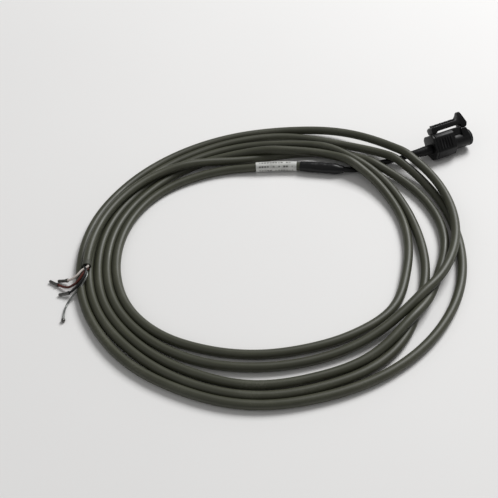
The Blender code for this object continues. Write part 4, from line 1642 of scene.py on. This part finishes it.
@dataclass
class LatchLever:
    """The sprung lever over the plug, with its barb and grip ribs."""

    half_width: float = 3.0
    outline: tuple[Pair, ...] = (
        (2.4, 7.4), (5.0, 7.4), (5.5, 8.25), (19.8, 8.25), (19.9, 7.0), (20.4, 5.9), (22.4, 5.9), (23.2, 6.5),
        (23.9, 8.1), (22.2, 13.9), (21.6, 14.9), (20.7, 14.7), (20.0, 13.0), (18.6, 11.4), (17.4, 11.1),
        (3.1, 11.1), (2.1, 10.1))
    barb_taper: float = 0.5
    rib_count: int = 5
    rib_first: float = 4.9
    rib_last: float = 16.6

    def build(self) -> None:
        """Build the lever and its ribs, both riding on the latch."""
        lever = prism("latch_lever_arm", softened(self.outline, 0.5, 3), -self.half_width, self.half_width,
                      PLUG @ ACROSS_Y, LATCH_PLASTIC, 0.28)
        self._narrow_barb(lever)
        settle_on(lever, Body.LATCH, Slot.LATCH, "latch_lever")
        spacing = (self.rib_last - self.rib_first) / (self.rib_count - 1)
        ribs = RIBS.grow("latch_grip_ribs", bpy.data.meshes.new("ribs"), LATCH_PLASTIC, Count=self.rib_count,
                         Spacing=spacing * MM, Width=(2 * self.half_width - 0.9) * MM, Thickness=0.0015,
                         Height=0.0014)
        ribs.data.transform(PLUG @ Matrix.Translation(Vector((self.rib_first, 0, 11.35)) * MM))
        settle_on(ribs, Body.LATCH, Slot.LATCH)

    def _narrow_barb(self, lever: bpy.types.Object) -> None:
        """Draw the barb's top in from both sides, above the lever's back.

        Args:
            lever: the lever, in the row frame.
        """
        to_plug = PLUG.inverted()
        back, peak = self.outline[-1][1] + 0.6, 14.9
        for vertex in lever.data.vertices:
            local = to_plug @ vertex.co
            rise = max(0.0, local.z / MM - back) / (peak - back)
            local.y *= 1 - self.barb_taper * min(1.0, rise)
            vertex.co = PLUG @ local


def dress_frame_pieces() -> None:
    """Give every CAD piece that still shows its finish."""
    finishes = {
        "wire_seal": (SEAL_RUBBER, Slot.SEAL),
        "terminal_lock": (INSERT_PLASTIC, Slot.INSERT),
        "contact_carrier": (INSERT_PLASTIC, Slot.INSERT),
    }
    for number in (1, 2, 3):
        finishes[f"contact_{number}"] = (CONTACT_METAL, Slot.TIN)
        finishes[f"plug_core_{number}"] = (BLACK_CORE, Slot.CORE_BLACK)
        finishes[f"splice_crimp_{number}"] = (CONTACT_METAL, Slot.TIN)
        finishes[f"splice_core_{number}"] = (BLACK_CORE, Slot.CORE_BLACK)
    for node, (finish, slot) in finishes.items():
        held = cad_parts[node]
        held.data.materials.clear()
        held.data.materials.append(finish.material())
        LOG.info("%s: dressed in %s", node, finish.name)


# ---------------------------------------------------------------- studio

@dataclass
class Studio:
    """The floor, the soft lights and the camera."""

    lens: float = 61.45
    camera_place: Point = (-8.5, -291.9, 307.4)
    camera_drop: float = 45.9
    camera_roll: float = -4.55
    floor_half: float = 4.0

    def build_camera(self) -> None:
        """Stand the camera over the coil's near side, looking down at it."""
        drop, roll = math.radians(self.camera_drop), math.radians(self.camera_roll)
        ahead = Vector((0, math.cos(drop), -math.sin(drop)))
        level, rise = Vector((1, 0, 0)), Vector((0, math.sin(drop), math.cos(drop)))
        right = level * math.cos(roll) + rise * math.sin(roll)
        up = rise * math.cos(roll) - level * math.sin(roll)
        turn = Matrix((right, up, -ahead)).transposed().to_4x4()
        data = bpy.data.cameras.new("camera")
        data.lens = self.lens
        data.sensor_width = 36.0
        data.clip_start = 0.01
        camera = bpy.data.objects.new("camera", data)
        bpy.context.scene.collection.objects.link(camera)
        camera.matrix_world = PLAN @ Matrix.Translation(Vector(self.camera_place) * MM) @ turn
        bpy.context.scene.camera = camera
        LOG.info("camera at %s", tuple(round(x, 4) for x in camera.matrix_world.translation))

    def build_floor(self) -> None:
        """Lay the pale floor."""
        reach = self.floor_half
        mesh = bpy.data.meshes.new("floor")
        mesh.from_pydata([(-reach, -reach, 0), (reach, -reach, 0), (reach, reach, 0), (-reach, reach, 0)], [],
                         [(0, 1, 2, 3)])
        mesh.materials.append(FLOOR.material())
        floor = bpy.data.objects.new("floor", mesh)
        bpy.context.scene.collection.objects.link(floor)

    def build_lights(self) -> None:
        """A wide soft light from the far right, a weaker fill from the near left, and a pale surround."""
        self._panel("key", (0.84, 0.86, 1.25), 0.8, 28.0)
        self._panel("fill", (-0.70, -0.45, 0.75), 0.9, 0.8)
        world = bpy.data.worlds.new("surround")
        world.use_nodes = True
        sheet = NodeSheet(world.node_tree)
        sheet.tree.nodes.clear()
        light = sheet.node("ShaderNodeBackground", None,
                           {"Color": (1.0, 0.995, 0.985, 1.0), "Strength": 0.28})
        sheet.node("ShaderNodeOutputWorld", None, {"Surface": light.outputs[0]})
        bpy.context.scene.world = world
        bpy.context.scene.view_settings.view_transform = "Standard"

    @staticmethod
    def _panel(name: str, place: Point, size: float, watts: float) -> None:
        """A square soft light that looks at the coil.

        Args:
            name: its name.
            place: where it stands, in metres of the coil's plan.
            size: its side.
            watts: its power.
        """
        data = bpy.data.lights.new(name, "AREA")
        data.size = size
        data.energy = watts
        panel = bpy.data.objects.new(name, data)
        bpy.context.scene.collection.objects.link(panel)
        stand = PLAN @ Vector(place)
        panel.matrix_world = (Matrix.Translation(stand)
                              @ (PLAN.translation - stand).to_track_quat("-Z", "Y").to_matrix().to_4x4())


def main() -> None:
    """Build the scene: camera, cords, plug, latch, frame pieces and studio."""
    logging.basicConfig(level=logging.INFO, format="%(name)s: %(message)s")
    studio = Studio()
    studio.build_camera()
    lead = BlackLead()
    lead.build()
    GreyCable().build(lead.obstacles())
    RoundNosePlug().build()
    LatchLever().build()
    dress_frame_pieces()
    studio.build_floor()
    studio.build_lights()


if __name__ == "__main__":
    main()
